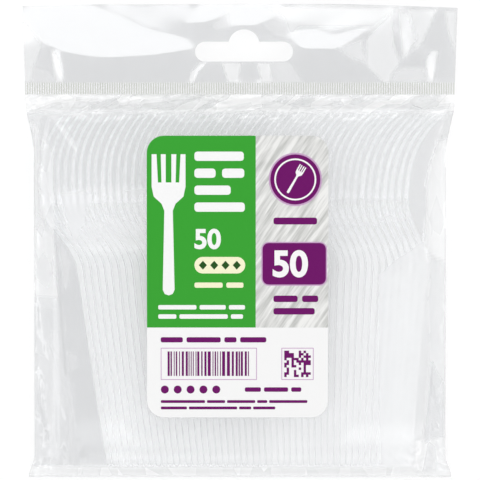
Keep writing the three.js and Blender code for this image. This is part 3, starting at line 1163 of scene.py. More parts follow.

# Patches of milkiness and painted reflection where the share is above 0, and painted shade in dark
# creases where it is below 0.
MILK_AND_LIGHT_PATCHES = (
    HazeAndLightPatch(((-109.5, 111), (-99, 98), (-103, 87), (-104.5, 78.5), (-109.5, 78.5)), 0.3, 2),
    HazeAndLightPatch(((-94.5, 96), (-91, 91), (-88, 78.5), (-92, 78.5), (-93.5, 87.5)), 0.35, 1.2),
    HazeAndLightPatch(((-103.5, 87), (-96.5, 84), (-92, 78.5), (-103.5, 78.5)), 0.12, 2),
    HazeAndLightPatch(((-20, 88.5), (-17, 88), (-21.5, 84), (-23, 78.5), (-25.5, 78.5), (-24.5, 84)), 0.5, 1),
    HazeAndLightPatch(((-9, 88.5), (0.5, 88.5), (-1, 78.5), (-6, 78.5)), 0.45, 1.2),
    HazeAndLightPatch(((-14, 107.5), (-6, 113.5), (-5, 106), (-11, 105)), 0.18, 1.2),
    HazeAndLightPatch(((11, 109), (21, 111), (25.5, 102), (18, 102)), 0.14, 1.2),
    HazeAndLightPatch(((15, 117), (80, 117), (76, 113), (66, 106), (30, 106), (25, 102), (21.5, 111)), 0.3, 4),
    HazeAndLightPatch(((48, 96), (61, 101), (63, 88), (55, 91)), 0.25, 1.5),
    HazeAndLightPatch(((63, 100), (75.5, 113), (77, 97), (80, 88.5), (75.5, 82.5), (75, 78.5), (72, 78.5),
          (63.5, 87)), 0.4, 1.5),
    HazeAndLightPatch(((79, 115.5), (84, 112.5), (88, 100), (81, 89)), 0.3, 1.5),
    HazeAndLightPatch(((84, 115.5), (98.5, 115), (91, 98), (86, 94), (88.5, 101)), 0.36, 2.5),
    HazeAndLightPatch(((81, 86), (92, 86), (94.5, 78.5), (75.5, 78.5), (76.5, 83)), 0.26, 1.5),
    HazeAndLightPatch(((92.5, 90), (95.5, 94.5), (99, 94.5), (96.5, 78.5), (94, 78.5)), 0.4, 1),
    HazeAndLightPatch(((102.5, 114.5), (108, 114.5), (107.5, 94), (104, 104)), 0.4, 2),
    HazeAndLightPatch(((8.5, 88.5), (15, 88.5), (16, 78.5), (11, 78.5)), 0.45, 1.2),
    HazeAndLightPatch(((16.5, 88.5), (25, 88.5), (31.5, 78.5), (16, 78.5)), 0.2, 1.5),
    HazeAndLightPatch(((-98, 63), (40, 63), (40, -115), (-62, -115), (-85, -5), (-91.5, 25)), 0.08, 3),
    HazeAndLightPatch(((14, 63), (106, 63), (105, -30), (14, -30)), 0.2, 8),
    HazeAndLightPatch(((-91.5, 25.5), (-30, 27.5), (-30, -4), (-70, -7), (-83, -3)), 0.24, 2.5),
    HazeAndLightPatch(((14, -11), (105, -5), (104, -115), (14, -115)), 0.2, 6),
    HazeAndLightPatch(((71, -18), (90, -3), (120, 2), (120, -120), (73, -120), (71, -70)), 0.33, 16),
    HazeAndLightPatch(((93, 36), (98.5, 49), (104, 50), (103, -11), (92.5, -6)), 0.68, 2.5, 0.15),
    HazeAndLightPatch(((85.5, 34), (92, 46), (98, 51), (98, 47), (93.5, 34), (92.5, 0)), 0.22, 2),
    HazeAndLightPatch(((95.5, -61.5), (102, -72.5), (102, -100), (93, -101)), 0.02, 1.5),
    HazeAndLightPatch(((-103.5, 60), (-93, 45), (-91.5, 2.5), (-90, -30), (-103, -35)), 0.3, 1.5, 0.4),
    HazeAndLightPatch(((-91, -2), (-86, -5), (-80, -18), (-67, -112), (-82, -112), (-82, -73), (-86.5, -67.5),
          (-89, -30)), -0.12, 2),
    HazeAndLightPatch(((-103, -28), (-90, -29), (-87, -67.5), (-83, -73), (-83, -92.5), (-84.5, -113), (-106, -113),
          (-103, -100)), 0.06, 1.5, 0.9),
    HazeAndLightPatch(((-99.5, -34), (-91.5, -34), (-90, -44.5), (-98, -45)), -0.12, 1),
    HazeAndLightPatch(((-86, -55), (-81, -56), (-80, -63), (-86, -67)), 0.1, 1),
    HazeAndLightPatch(((-90, -1), (-83.5, -9), (-85, -22), (-87.5, -26)), 0.16, 1.5),
    HazeAndLightPatch(((-107, -113), (106, -113), (106, -118), (-107, -118)), 0.55, 1.5, 0.2),
    HazeAndLightPatch(((88, -100), (106, -98), (107, -115), (86, -115)), 0.42, 2, 0.6),
    HazeAndLightPatch(((-92.5, 6), (-91, 6), (-88.5, -30), (-86, -67), (-87.5, -68), (-90, -30)), -0.5, 1.4),
    HazeAndLightPatch(((-102, -76.5), (-100.5, -76.5), (-94.5, -102), (-97.5, -100)), -0.35, 1.2),
    HazeAndLightPatch(((-92.5, -81), (-91, -81), (-91, -103), (-92.5, -100)), -0.3, 1.2),
    HazeAndLightPatch(((-108, 68.5), (-97, 68), (-96, 64.5), (-106.5, 62)), -0.15, 1.5),
    HazeAndLightPatch(((95, -61), (96.5, -62.5), (94, -101), (92.5, -101)), -0.35, 1.2),
)


@dataclass(frozen=True)
class Wrinkle:
    """A layer of sharp folds or soft waves in slack film, with its wave lengths along X and Y."""

    seed: int
    rise: float
    across: Point
    along: Point
    shift: Point = (0.0, 0.0)
    sharp: bool = True

    def height(self, x: Array, y: Array) -> Array:
        """Height of the layer at places of the film."""
        noise = Crumple(self.seed)
        first = x / self.across[0] + y / self.across[1] + self.shift[0]
        second = x / self.along[0] + y / self.along[1] + self.shift[1]
        return self.rise * (noise.creased(first, second) if self.sharp else noise.smooth(first, second))


GATHERS = (
    Wrinkle(5, 3.4, (24 / 0.95, 24 / 0.31), (-5.2 / 0.31, 5.2 / 0.95), (0.4, 0.0)),
    Wrinkle(23, 1.5, (13, -30), (26, 3.6)),
    Wrinkle(31, 0.8, (5, math.inf), (9, 5)),
)

PLEATS = (
    Wrinkle(5, 2.0, (8, 60), (30, 24)),
    Wrinkle(23, 0.9, (5, -40), (18, 12)),
)

CORNER_FOLDS = Wrinkle(23, 1.6, (8, math.inf), (math.inf, 7), (-3.0, 5.0))
SWELL = Wrinkle(31, 0.6, (70, math.inf), (math.inf, 55), (0.3, 0.9), sharp=False)
HEADER_WAVE = Wrinkle(11, 0.25, (40, math.inf), (math.inf, 36), (3.1, 0.7), sharp=False)
HEADER_CREASE = Wrinkle(11, 0.1, (21, 50), (-70, 30))


def folded(layers: Iterable[Wrinkle], x: Array, y: Array) -> Array:
    """Height of some layers of folds together."""
    return sum(layer.height(x, y) for layer in layers)


@dataclass
class HeaderFolds:
    """Heights of the header's film, from the tilts of its facets. It is tied down along the seal."""

    half: float = 110
    height: float = 40
    step: float = 0.5
    facets: tuple[Facet, ...] = HEADER_FACETS

    def __post_init__(self) -> None:
        """Work out the heights on a grid whose slopes come closest to the facets' tilts."""
        self.across = np.arange(-self.half, self.half + self.step / 2, self.step)
        self.up = np.arange(self.step / 2, self.height + self.step, self.step)
        x, y = np.meshgrid(self.across, self.up)
        rise_x, rise_y = np.zeros(x.shape), np.zeros(x.shape)
        for facet in self.facets:
            share = facet.share(x, y)
            rise_x = rise_x * (1 - share) + share * facet.rise[0]
            rise_y = rise_y * (1 - share) + share * facet.rise[1]
        self.heights = self._integrate(rise_x, rise_y)

    def _integrate(self, rise_x: Array, rise_y: Array) -> Array:
        """Heights whose slopes come closest to the wanted ones.

        Args:
            rise_x: Wanted slope along X.
            rise_y: Wanted slope along Y.

        Returns:
            Heights, zero along the lowest row.
        """
        rows, columns = rise_x.shape
        rise_x = np.concatenate([rise_x, rise_x[::-1], -rise_x, -rise_x[::-1]])
        rise_y = np.concatenate([rise_y, -rise_y[::-1], -rise_y, rise_y[::-1]])
        rise_x = np.concatenate([rise_x, -rise_x[:, ::-1]], axis=1)
        rise_y = np.concatenate([rise_y, rise_y[:, ::-1]], axis=1)
        wave_y = 2 * math.pi * np.fft.fftfreq(4 * rows, self.step)[:, None]
        wave_x = 2 * math.pi * np.fft.fftfreq(2 * columns, self.step)[None, :]
        size = wave_x**2 + wave_y**2
        size[0, 0] = 1
        spectrum = -1j * (wave_x * np.fft.fft2(rise_x) + wave_y * np.fft.fft2(rise_y)) / size
        return np.fft.ifft2(spectrum).real[:rows, :columns]

    def at(self, x: Array, up: Array) -> Array:
        """Heights at places across the header and over the seal."""
        column = np.clip((x - self.across[0]) / self.step, 0, self.across.size - 1.001)
        row = np.clip((up - self.up[0]) / self.step, 0, self.up.size - 1.001)
        left, low = column.astype(int), row.astype(int)
        part_x, part_y = column - left, row - low
        lower = self.heights[low, left] * (1 - part_x) + self.heights[low, left + 1] * part_x
        upper = self.heights[low + 1, left] * (1 - part_x) + self.heights[low + 1, left + 1] * part_x
        return lower * (1 - part_y) + upper * part_y


@dataclass
class FilmLines:
    """Taut lines of the film over the contents, as functions of Y."""

    front: list[Point]
    back: list[Point]

    @classmethod
    def over(cls, points: Array, ends: Sequence[Point], gap: float, rows: int) -> "FilmLines":
        """Lay the film over the contents.

        Args:
            points: Corners of the contents, in millimetres.
            ends: Y and Z of the bottom fold and of the seal.
            gap: Room between contents and film.
            rows: Number of bands along Y at whose borders the film bends.

        Returns:
            The front and the back line.
        """
        bands = np.linspace(points[:, 1].min() - gap, points[:, 1].max() + gap, rows + 1)
        band = np.clip(np.searchsorted(bands, points[:, 1], side="right") - 1, 0, rows - 1)

        def around(values: Array) -> Array:
            """Hold each value out at both borders of its band."""
            return np.concatenate([np.stack([bands[band + end], values], axis=1) for end in (0, 1)])

        tied = np.array(ends, dtype=float)
        return cls(
            front=taut_line(np.concatenate([around(points[:, 2] + gap), tied]), 1),
            back=taut_line(np.concatenate([around(points[:, 2] - gap), tied]), -1),
        )


@dataclass
class FilmBag:
    """The film bag: taut over the forks, slack at its sides, gathered under the seal, with a header."""

    lines: FilmLines
    edges: tuple[list[Point], list[Point]]
    label: tuple[Point, Point]
    low: Array
    high: Array
    tips: float
    finish: FilmFinish = field(default_factory=FilmFinish)
    folds: HeaderFolds = field(default_factory=HeaderFolds)
    # Patches of milkiness, painted reflection and painted shade on the front film.
    haze_and_light_patches: tuple[HazeAndLightPatch, ...] = MILK_AND_LIGHT_PATCHES
    bend_spread: float = 9
    film: float = 0.25
    body_half: float = 102.87
    header_height: float = 40
    header_flare: float = 4.6
    header_widening: float = 1.4
    crimp_height: float = 6
    crimp_level: float = 10
    crimp_pitch: float = 1.21
    crimp_relief: float = 0.3
    foot_flare: float = 3
    foot_flare_length: float = 11
    shoulder_length: float = 30
    seam_level: float = 0.4
    slot_length: float = 49
    slot_height: float = 10
    slot_bump_radius: float = 7.75
    slot_bump_rise: float = 3.5
    slot_above_crimp: float = 15.5
    slot_offset: float = 2
    turn_left: tuple[Point, ...] = (
        (-113, -80), (-99, -82.3), (-67, -86.2), (-45, -87.7), (-30, -89.2), (5, -91.6),
        (12, -95), (27, -98.1), (45, -98.1), (54.5, -96.6), (63.5, -94.1),
    )
    turn_right: tuple[Point, ...] = (
        (-113, 89.2), (-99, 91.2), (-79, 93.2), (-62, 94.7), (-30, 93.2), (0, 91.8),
        (27, 92.2), (45, 96.7), (57.5, 101.2), (63.5, 102.2),
    )
    top_drop: tuple[Point, ...] = ((-109, 1.6), (-70, 0.6), (55, 0.6), (109, 2.6))
    top_drop_run: float = 16
    turn_room: float = 0.6
    side_power: float = 2.2
    wave_rise: Point = (0, 16)
    crease_rise: Point = (0.5, 8)
    gather_run: float = 7
    gather_overlap: float = 0.5
    gather_fade: float = 1.2
    gather_depth: float = 2.0
    pleat_depth: float = 0.7
    pleat_start: Point = (0.02, 0.35)
    pleat_end: Point = (0.9, 1)
    pleat_calm: float = 0.45
    pleat_calm_rise: Point = (75, 40)
    corner_depth: float = 0.5
    corner_reach: Point = (30, 8)
    corner_rise: Point = (26, 6)
    corner_foot: float = 3
    corner_end: Point = (0.93, 1)
    crease_from: Point = (-95, 67.5)
    crease_normal: Point = (0.814, 0.581)
    crease_span: tuple[float, float, float, float] = (-97, -94, -81, -78)
    crease_height: float = 0.6
    crease_width: float = 2.5
    label_reach: Point = (1, 14)
    label_side: float = 0.1
    sink_share: float = 0.45
    least_room: float = 0.6
    sharp_degrees: float = 70
    # Tint of the seal at steep angles, also the colour of the painted shade stripes along its ribs.
    seal_tint_and_rib_shade: Colour = (0.74, 0.75, 0.7)
    columns: int = 208
    cell: float = 1.22
    fine_cell: float = 0.6

    @property
    def crimp_top(self) -> float:
        """Upper edge of the seal."""
        return self.high[1] - self.header_height

    @property
    def crimp(self) -> float:
        """Lower edge of the seal."""
        return self.crimp_top - self.crimp_height

    def half_width(self, y: Array) -> Array:
        """Half of the bag's width at a level."""
        foot = self.low[1]
        flare = self.foot_flare * (1 - smoothstep(foot, foot + self.foot_flare_length, y))
        head = self.header_flare * smoothstep(self.crimp - self.shoulder_length, self.crimp, y)
        widening = self.header_widening * np.clip((y - self.crimp_top) / self.header_height, 0, 1)
        return self.body_half + flare + head + widening

    def slot_distance(self, x: Array, y: Array) -> Array:
        """Distance to the hang slot's outline, negative inside it."""
        own_x = x - self.slot_offset
        own_y = y - self.crimp_top - self.slot_above_crimp
        round_end = self.slot_height / 2
        reach = self.slot_length / 2 - round_end
        bar = np.hypot(np.maximum(np.abs(own_x) - reach, 0), own_y) - round_end
        bump = np.hypot(own_x, own_y - self.slot_bump_rise) - self.slot_bump_radius
        return np.minimum(bar, bump)

    def header_level(self, x: Array, y: Array) -> Array:
        """Height of the header's two films: tied to the seal, with facets that tilt and small waves."""
        up = y - self.crimp_top
        wave = HEADER_WAVE.height(x, y) * smoothstep(*self.wave_rise, up)
        crease = HEADER_CREASE.height(x, y) * smoothstep(*self.crease_rise, up)
        return self.crimp_level + self.folds.at(x, up) * smoothstep(-0.5, 0.5, up) + wave + crease

    def turns(self, y: Array) -> tuple[Array, Array]:
        """X of the lines where the front film turns down to its side seams, clear of the end forks."""
        left = np.minimum(polyline(self.turn_left, y), polyline(self.edges[0], y) - self.turn_room)
        right = np.maximum(polyline(self.turn_right, y), polyline(self.edges[1], y) + self.turn_room)
        return left, right

    def body_levels(self, x: Array, y: Array) -> tuple[Array, Array]:
        """Heights of the front and the back film below the seal.

        Args:
            x: Places across the bag.
            y: Places along the bag.

        Returns:
            Front and back height.
        """
        front = self.front_level(y)
        back = polyline(self.lines.back, y)
        left, right = self.turns(y)
        seam = back + self.seam_level * (front - back)
        half = self.half_width(y)
        side_right = np.clip((x - right) / np.maximum(half - right, 0.5), 0, 1)
        side_left = np.clip((left - x) / np.maximum(half + left, 0.5), 0, 1)
        side = np.maximum(side_left, side_right)
        fall = (1 - side) ** self.side_power
        top = seam + (front - seam) * fall + self.film
        under = seam + (back - seam) * (1 - side**self.side_power) - self.film
        under = np.maximum(under, 0.02)
        top = top + self._slack(x, y, side, half, top - under)
        return top, np.minimum(under, top - 0.3)

    def front_level(self, y: Array) -> Array:
        """Height of the front film: its bend over the bowls is spread, and it drapes to the seal."""
        grid = np.arange(self.low[1] - 40, self.high[1] + 40, 0.5)
        line = polyline(self.lines.front, grid)
        window = np.exp(-0.5 * (np.arange(-60, 61) * 0.5 / self.bend_spread) ** 2)
        soft = np.convolve(line, window / window.sum(), mode="same")
        share = smoothstep(self.low[1] + 12, self.low[1] + 30, grid)
        share = share * (1 - smoothstep(self.crimp - 34, self.crimp - 18, grid))
        level = line + share * (soft - line + 0.25)
        start = float(np.interp(self.tips, grid, level))
        part = np.clip((grid - self.tips) / (self.crimp - self.tips), 0, 1)
        drape = self.crimp_level + (start - self.crimp_level) * (1 - part) ** 1.7
        return np.interp(y, grid, np.where(grid > self.tips, drape, level))

    def _slack(self, x: Array, y: Array, side: Array, half: Array, room: Array) -> Array:
        """Wrinkles of the front film: gathers under the seal, crumpled sides and corners.

        Args:
            x: Places across the bag.
            y: Places along the bag.
            side: 0 over the contents, rising to 1 at the side seams.
            half: Half of the bag's width.
            room: Room between front and back film.

        Returns:
            Height to add to the front film.
        """
        gather = self._gathering(y)
        gathers = gather * (folded(GATHERS, x, y) - self.gather_depth)
        height = np.where(y < self.tips + self.gather_overlap, np.maximum(gathers, 0), gathers)
        height = height + self._pleats(x, y, side) * (1 - gather)
        height = height + self._corner_folds(x, y, side, half)
        height = height + self._crease(x, y)
        height = height + self._swell(x, y, side) * (1 - gather)
        return np.maximum(height, -self.sink_share * np.maximum(room - self.least_room, 0))

    def _gathering(self, y: Array) -> Array:
        """How gathered the film is: 0 over the forks and 1 between their tips and the seal."""
        rise = smoothstep(self.tips - self.gather_run, self.tips + self.gather_overlap, y)
        return rise * (1 - smoothstep(self.crimp - self.gather_fade, self.crimp, y))

    def _pleats(self, x: Array, y: Array, side: Array) -> Array:
        """Height of the pleats in the slack sides, calmer towards the seal."""
        start, end = (self.low[1] + rise for rise in self.pleat_calm_rise)
        loose = smoothstep(*self.pleat_start, side) * (1 - smoothstep(*self.pleat_end, side))
        loose = loose * (self.pleat_calm + (1 - self.pleat_calm) * smoothstep(start, end, y))
        return loose * (folded(PLEATS, x, y) - self.pleat_depth)

    def _corner_folds(self, x: Array, y: Array, side: Array, half: Array) -> Array:
        """Height of the folds in the two lower corners."""
        up = y - self.low[1]
        corner = smoothstep(*self.corner_reach, half - np.abs(x)) * smoothstep(*self.corner_rise, up)
        corner = corner * (1 - smoothstep(*self.corner_end, side)) * smoothstep(0, self.corner_foot, up)
        return corner * (CORNER_FOLDS.height(x, y) - self.corner_depth)

    def _crease(self, x: Array, y: Array) -> Array:
        """Height of the straight crease over the left bowls."""
        at, normal, span = self.crease_from, self.crease_normal, self.crease_span
        away = np.abs((x - at[0]) * normal[0] + (y - at[1]) * normal[1])
        share = smoothstep(*span[:2], x) * (1 - smoothstep(*span[2:], x))
        return self.crease_height * np.maximum(0, 1 - away / self.crease_width) * share

    def _swell(self, x: Array, y: Array, side: Array) -> Array:
        """Height of the slow waves beside the label, which lies flat."""
        (left, bottom), (right, top) = self.label
        beside_x = np.maximum(np.maximum(left - x, x - right), 0)
        beside_y = np.maximum(np.maximum(bottom - y, y - top), 0)
        free = smoothstep(*self.label_reach, np.hypot(beside_x, beside_y))
        free = free * (1 - smoothstep(0, self.label_side, side))
        return free * (SWELL.rise + SWELL.height(x, y))

    def _grid(self) -> tuple[Array, Array, Array]:
        """Places of the film's grid, with its points on the hang slot's outline, and the kept cells.

        Returns:
            X, Y and a mask of the cells outside the slot and the seal.
        """
        loose = self.tips - self.gather_run
        stretches = (
            (self.low[1], loose, self.cell),
            (loose, self.crimp, self.fine_cell),
            (self.crimp, self.crimp_top, self.crimp_height),
            (self.crimp_top, self.high[1], self.cell * 0.85),
        )
        counts = [max(1, round((end - start) / cell)) for start, end, cell in stretches]
        ends = [(start, end, count + 1) for (start, end, _), count in zip(stretches, counts)]
        levels = np.concatenate([[self.low[1]], *(np.linspace(*band)[1:] for band in ends)])
        shares = np.linspace(-1, 1, self.columns + 1)
        y = np.repeat(levels[:, None], self.columns + 1, axis=1)
        x = shares[None, :] * self.half_width(y)
        inside = self.slot_distance(x, y) < 0
        cells = np.stack([inside[:-1, :-1], inside[1:, :-1], inside[:-1, 1:], inside[1:, 1:]])
        kept = ~cells.all(axis=0)
        seal = counts[0] + counts[1]
        kept[seal : seal + counts[2]] = False
        step = 0.01
        for _ in range(3):
            gap = self.slot_distance(x, y)
            slope_x = (self.slot_distance(x + step, y) - gap) / step
            slope_y = (self.slot_distance(x, y + step) - gap) / step
            x = np.where(inside, x - gap * slope_x, x)
            y = np.where(inside, y - gap * slope_y, y)
        share = np.clip((y - self.high[1] + self.top_drop_run) / self.top_drop_run, 0, 1)
        return x, y - polyline(self.top_drop, x) * share, kept

    def _milk(self, points: Array, fronts: int) -> tuple[Array, Array]:
        """The film's milkiness with its painted reflection and painted shade, and how broken up it is, at
        its points.

        Args:
            points: Rows of X, Y and Z in millimetres.
            fronts: Number of points of the front film, which come first.

        Returns:
            Share of milkiness, painted reflection and painted shade, and of breaks, at each point.
        """
        milk, broken = np.zeros(len(points)), np.zeros(len(points))
        x, y = points[:fronts, 0], points[:fronts, 1]
        for haze in self.haze_and_light_patches:
            share = Patch(haze.corners, haze.rim).share(x, y)
            milk[:fronts] = milk[:fronts] * (1 - share) + share * haze.milk
            broken[:fronts] = broken[:fronts] * (1 - share) + share * haze.broken
        return milk, broken

    def _film(self) -> tuple[Array, list[tuple[int, ...]]]:
        """Points and faces of the two films, joined along every border.

        Returns:
            Points in millimetres and faces.
        """
        x, y, kept = self._grid()
        top, under = self.body_levels(x, y)
        head = self.header_level(x, y)
        in_head = y > self.crimp + 0.01
        front = np.where(in_head, head + self.film, top)
        back = np.where(in_head, head - self.film, under)
        front_points = np.stack([x, y, front], axis=-1).reshape(-1, 3)
        back_points = np.stack([x, y, back], axis=-1).reshape(-1, 3)
        number = np.arange(x.size).reshape(x.shape)
        corners = [number[:-1, :-1], number[:-1, 1:], number[1:, 1:], number[1:, :-1]]
        quads = np.stack([c[kept] for c in corners], axis=1)
        used = np.zeros(x.size, dtype=bool)
        used[quads.ravel()] = True
        fresh = np.cumsum(used) - 1
        quads = fresh[quads]
        count = int(used.sum())
        edges: dict[tuple[int, int], int] = {}
        for quad in quads.tolist():
            for a, b in zip(quad, quad[1:] + quad[:1]):
                edges[(a, b)] = edges.get((a, b), 0) + 1
        walls = [(b, a, a + count, b + count) for a, b in edges if (b, a) not in edges]
        faces = quads.tolist() + (quads[:, ::-1] + count).tolist() + walls
        return np.concatenate([front_points[used], back_points[used]]), faces

    def _ribs(self) -> tuple[Array, list[tuple[int, ...]]]:
        """The seal: one closed strip with upright ribs on its front and back.

        Returns:
            Points in millimetres and faces.
        """
        half = float(self.half_width(np.array(self.crimp))) - 0.1
        steps = 6 * round(2 * half / self.crimp_pitch)
        x = np.linspace(-half, half, steps + 1)
        wave = 0.5 - 0.5 * np.cos(np.arange(steps + 1) / 6 * 2 * math.pi)
        rise = self.film + self.crimp_relief * wave
        levels = (self.crimp + 0.05, self.crimp_top - 0.05)
        sides = ((-1, levels[0]), (1, levels[0]), (1, levels[1]), (-1, levels[1]))
        loops = []
        for side, y in sides:
            loops.append(np.stack([x, np.full(x.size, y), self.crimp_level + side * rise], axis=1))
        count = x.size
        faces: list[tuple[int, ...]] = []
        for corner in range(4):
            first, second = corner * count, (corner + 1) % 4 * count
            faces += [(first + i, first + i + 1, second + i + 1, second + i) for i in range(steps)]
        faces.append(tuple(corner * count for corner in range(4)))
        faces.append(tuple(corner * count + steps for corner in reversed(range(4))))
        return np.concatenate(loops), faces

    def build(self) -> bpy.types.Object:
        """Build and dress the film.

        Returns:
            The bag.
        """
        parts = [self._film(), self._ribs()]
        points = np.concatenate([part[0] for part in parts])
        faces: list[tuple[int, ...]] = []
        start = 0
        for part_points, part_faces in parts:
            faces += [tuple(start + i for i in face) for face in part_faces]
            start += len(part_points)
        bag = add_mesh("clear_film_bag", points, faces)
        smooth_faces(bag.data, self.sharp_degrees)
        # Point attributes: milkiness with painted reflection and painted shade, and breaks.
        for name, values in zip(("milk", "broken"), self._milk(points, len(parts[0][0]) // 2)):
            bag.data.attributes.new(name, "FLOAT", "POINT").data.foreach_set("value", values)
        ribs = {"rib_pitch": self.crimp_pitch, "steep_tint": self.seal_tint_and_rib_shade}
        bag.data.materials.append(self.finish.build())
        bag.data.materials.append(replace(self.finish, name="crimped_film", **ribs).build())
        for polygon in bag.data.polygons[len(parts[0][1]) :]:
            polygon.material_index = 1
        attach(bag, BODY)
        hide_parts("film_bag")
        LOG.info("film bag of %d faces", len(bag.data.polygons))
        return bag


class Ink(Enum):
    """Inks of the label's print, each with its display colour."""

    WHITE = (253, 253, 253)
    CREAM = (253, 250, 215)
    DARK = (38, 84, 33)
    PURPLE = (112, 17, 104)
    LILAC = (205, 165, 205)


@dataclass
class FrontLabel:
    """The label card on the front film, with a generic print of plain shapes and a count."""

    level: Callable[[Array], Array]
    width: float = 90
    height: float = 140
    corner: float = 8.5
    centre_x: float = -1.2
    top: float = 51.69
    gap: float = 0.3
    thickness: float = 0.2
    ink_lift: float = 0.05
    ink_gap: float = 0.01
    bend_span: tuple[float, float, float] = (-90, 60, 5)
    frame_width: float = 0.35
    count: str = "50"
    numeral_weight: float = 0.032
    sharp_degrees: float = 30
    shapes: dict[tuple[Ink, int], list[list[Point]]] = field(default_factory=dict)

    def _add(self, ink: Ink, layer: int, outline: Sequence[Point]) -> None:
        """Add one closed outline to the print.

        Args:
            ink: Its ink.
            layer: Its layer over the card, from 1.
            outline: Its corners, in millimetres.
        """
        self.shapes.setdefault((ink, layer), []).append(list(outline))

    @staticmethod
    def rounded(
        left: float, bottom: float, right: float, top: float, radius: float, steps: int = 5
    ) -> list[Point]:
        """Outline of a box with round corners.

        Args:
            left: Lowest X.
            bottom: Lowest Y.
            right: Highest X.
            top: Highest Y.
            radius: Radius of the corners.
            steps: Straight pieces in each corner.

        Returns:
            The corners, anticlockwise.
        """
        radius = min(radius, (right - left) / 2 - 1e-4, (top - bottom) / 2 - 1e-4)
        middles = ((right - radius, bottom + radius), (right - radius, top - radius),
                   (left + radius, top - radius), (left + radius, bottom + radius))
        outline = []
        for quarter, (x, y) in enumerate(middles):
            for step in range(steps + 1):
                angle = (quarter - 1 + step / steps) * math.pi / 2
                outline.append((x + radius * math.cos(angle), y + radius * math.sin(angle)))
        return outline

    @staticmethod
    def ring(x: float, y: float, radius: float, inner: float, steps: int = 40) -> list[list[Point]]:
        """Outlines of a flat ring, as a row of small pieces."""
        angles = np.linspace(0, 2 * math.pi, steps + 1)
        pieces = []
        for a, b in zip(angles, angles[1:]):
            corners = ((inner, a), (radius, a), (radius, b), (inner, b))
            pieces.append([(x + r * math.cos(t), y + r * math.sin(t)) for r, t in corners])
        return pieces

    @staticmethod
    def pictogram(x: float, y: float, length: float, turn: float) -> list[Point]:
        """Outline of a plain fork sign.

        Args:
            x: Middle X.
            y: Middle Y.
            length: Length of the sign.
            turn: Turn from upright, in degrees.

        Returns:
            The outline.
        """
        half = [(0.0, -0.5), (0.028, -0.49), (0.042, -0.46), (0.03, 0.1), (0.05, 0.15), (0.105, 0.2),
                (0.12, 0.27), (0.12, 0.5), (0.085, 0.5), (0.075, 0.3), (0.05, 0.3), (0.055, 0.5),
                (0.02, 0.5), (0.02, 0.3), (0.0, 0.3)]
        outline = half + [(-a, b) for a, b in reversed(half[1:-1])]
        cos, sin = math.cos(math.radians(turn)), math.sin(math.radians(turn))
        return [(x + length * (a * cos - b * sin), y + length * (a * sin + b * cos)) for a, b in outline]

    def _bars(
        self, ink: Ink, layer: int, left: float, y: float, height: float, words: Sequence[float]
    ) -> None:
        """Add a row of plain bars in place of a line of words.

        Args:
            ink: Their ink.
            layer: Their layer.
            left: X of the first bar's left end.
            y: Middle of the row.
            height: Height of the bars.
            words: Length of each bar.
        """
        low, high = y - height / 2, y + height / 2
        for word in words:
            self._add(ink, layer, self.rounded(left, low, left + word, high, height * 0.32, 3))
            left += word + height * 0.7

    def _compose(self) -> None:
        """Lay out the print: a fork sign and lines on green, a roundel, a count tab and code panels."""
        self._add(Ink.WHITE, 1, self.pictogram(-35.4, 7.5, 70, 0))
        for row, words in enumerate(((24.5,), (10.5, 11), (18,), (25,))):
            self._bars(Ink.WHITE, 1, -22.6, 41.5 - 8.4 * row, 4.6, words)
        self._add(Ink.CREAM, 1, self.rounded(-22.6, -16.6, 2.6, -8.4, 4.1, 8))
        for column in range(4):
            x = -18.4 + 5.6 * column
            self._add(Ink.DARK, 2, [(x - 2, -12.5), (x, -14.7), (x + 2, -12.5), (x, -10.3)])
        self._bars(Ink.CREAM, 1, -22.6, -22.4, 2.6, (14, 8.5))
        for row, words in enumerate(((19, 13, 8), (9, 24, 6))):
            self._bars(Ink.WHITE, 1, -40.6, -33.4 - 4.6 * row, 2.2, words)
        self._add(Ink.LILAC, 1, self.rounded(14.2, 16.8, 40.6, 43.2, 13.2, 10))
        self._add(Ink.PURPLE, 2, self.rounded(15.0, 17.6, 39.8, 42.4, 12.4, 10))
        for piece in self.ring(27.4, 30.0, 10.4, 9.6):
            self._add(Ink.WHITE, 3, piece)
        self._add(Ink.WHITE, 3, self.pictogram(27.4, 30.0, 15.5, -30))
        self._bars(Ink.PURPLE, 1, 16.6, 9.4, 3.4, (21.6,))
        self._add(Ink.LILAC, 1, self.rounded(10.6, -22.7, 43.2, -0.9, 3.6))
        self._add(Ink.PURPLE, 2, self.rounded(11.2, -22.1, 42.6, -1.5, 3.0))
        for row, words in enumerate(((12, 8), (20.5,))):
            self._bars(Ink.PURPLE, 1, 16.6, -29.2 - 6.2 * row, 3.2, words)
        self._bars(Ink.PURPLE, 1, -39.4, -49.6, 2.6, (11, 17, 6, 13))
        self._codes()
        for column in range(5):
            x = -37.4 + 6.4 * column
            self._add(Ink.PURPLE, 1, self.rounded(x - 2, -76.4, x + 2, -72.4, 2, 4))
        self._bars(Ink.PURPLE, 1, 2.4, -74.4, 2.2, (8, 12, 5))
        for row, words in enumerate(((22, 9, 14, 5, 19), (13, 24, 6, 11))):
            self._bars(Ink.PURPLE, 1, -39.4, -80.4 - 3.2 * row, 1.4, words)

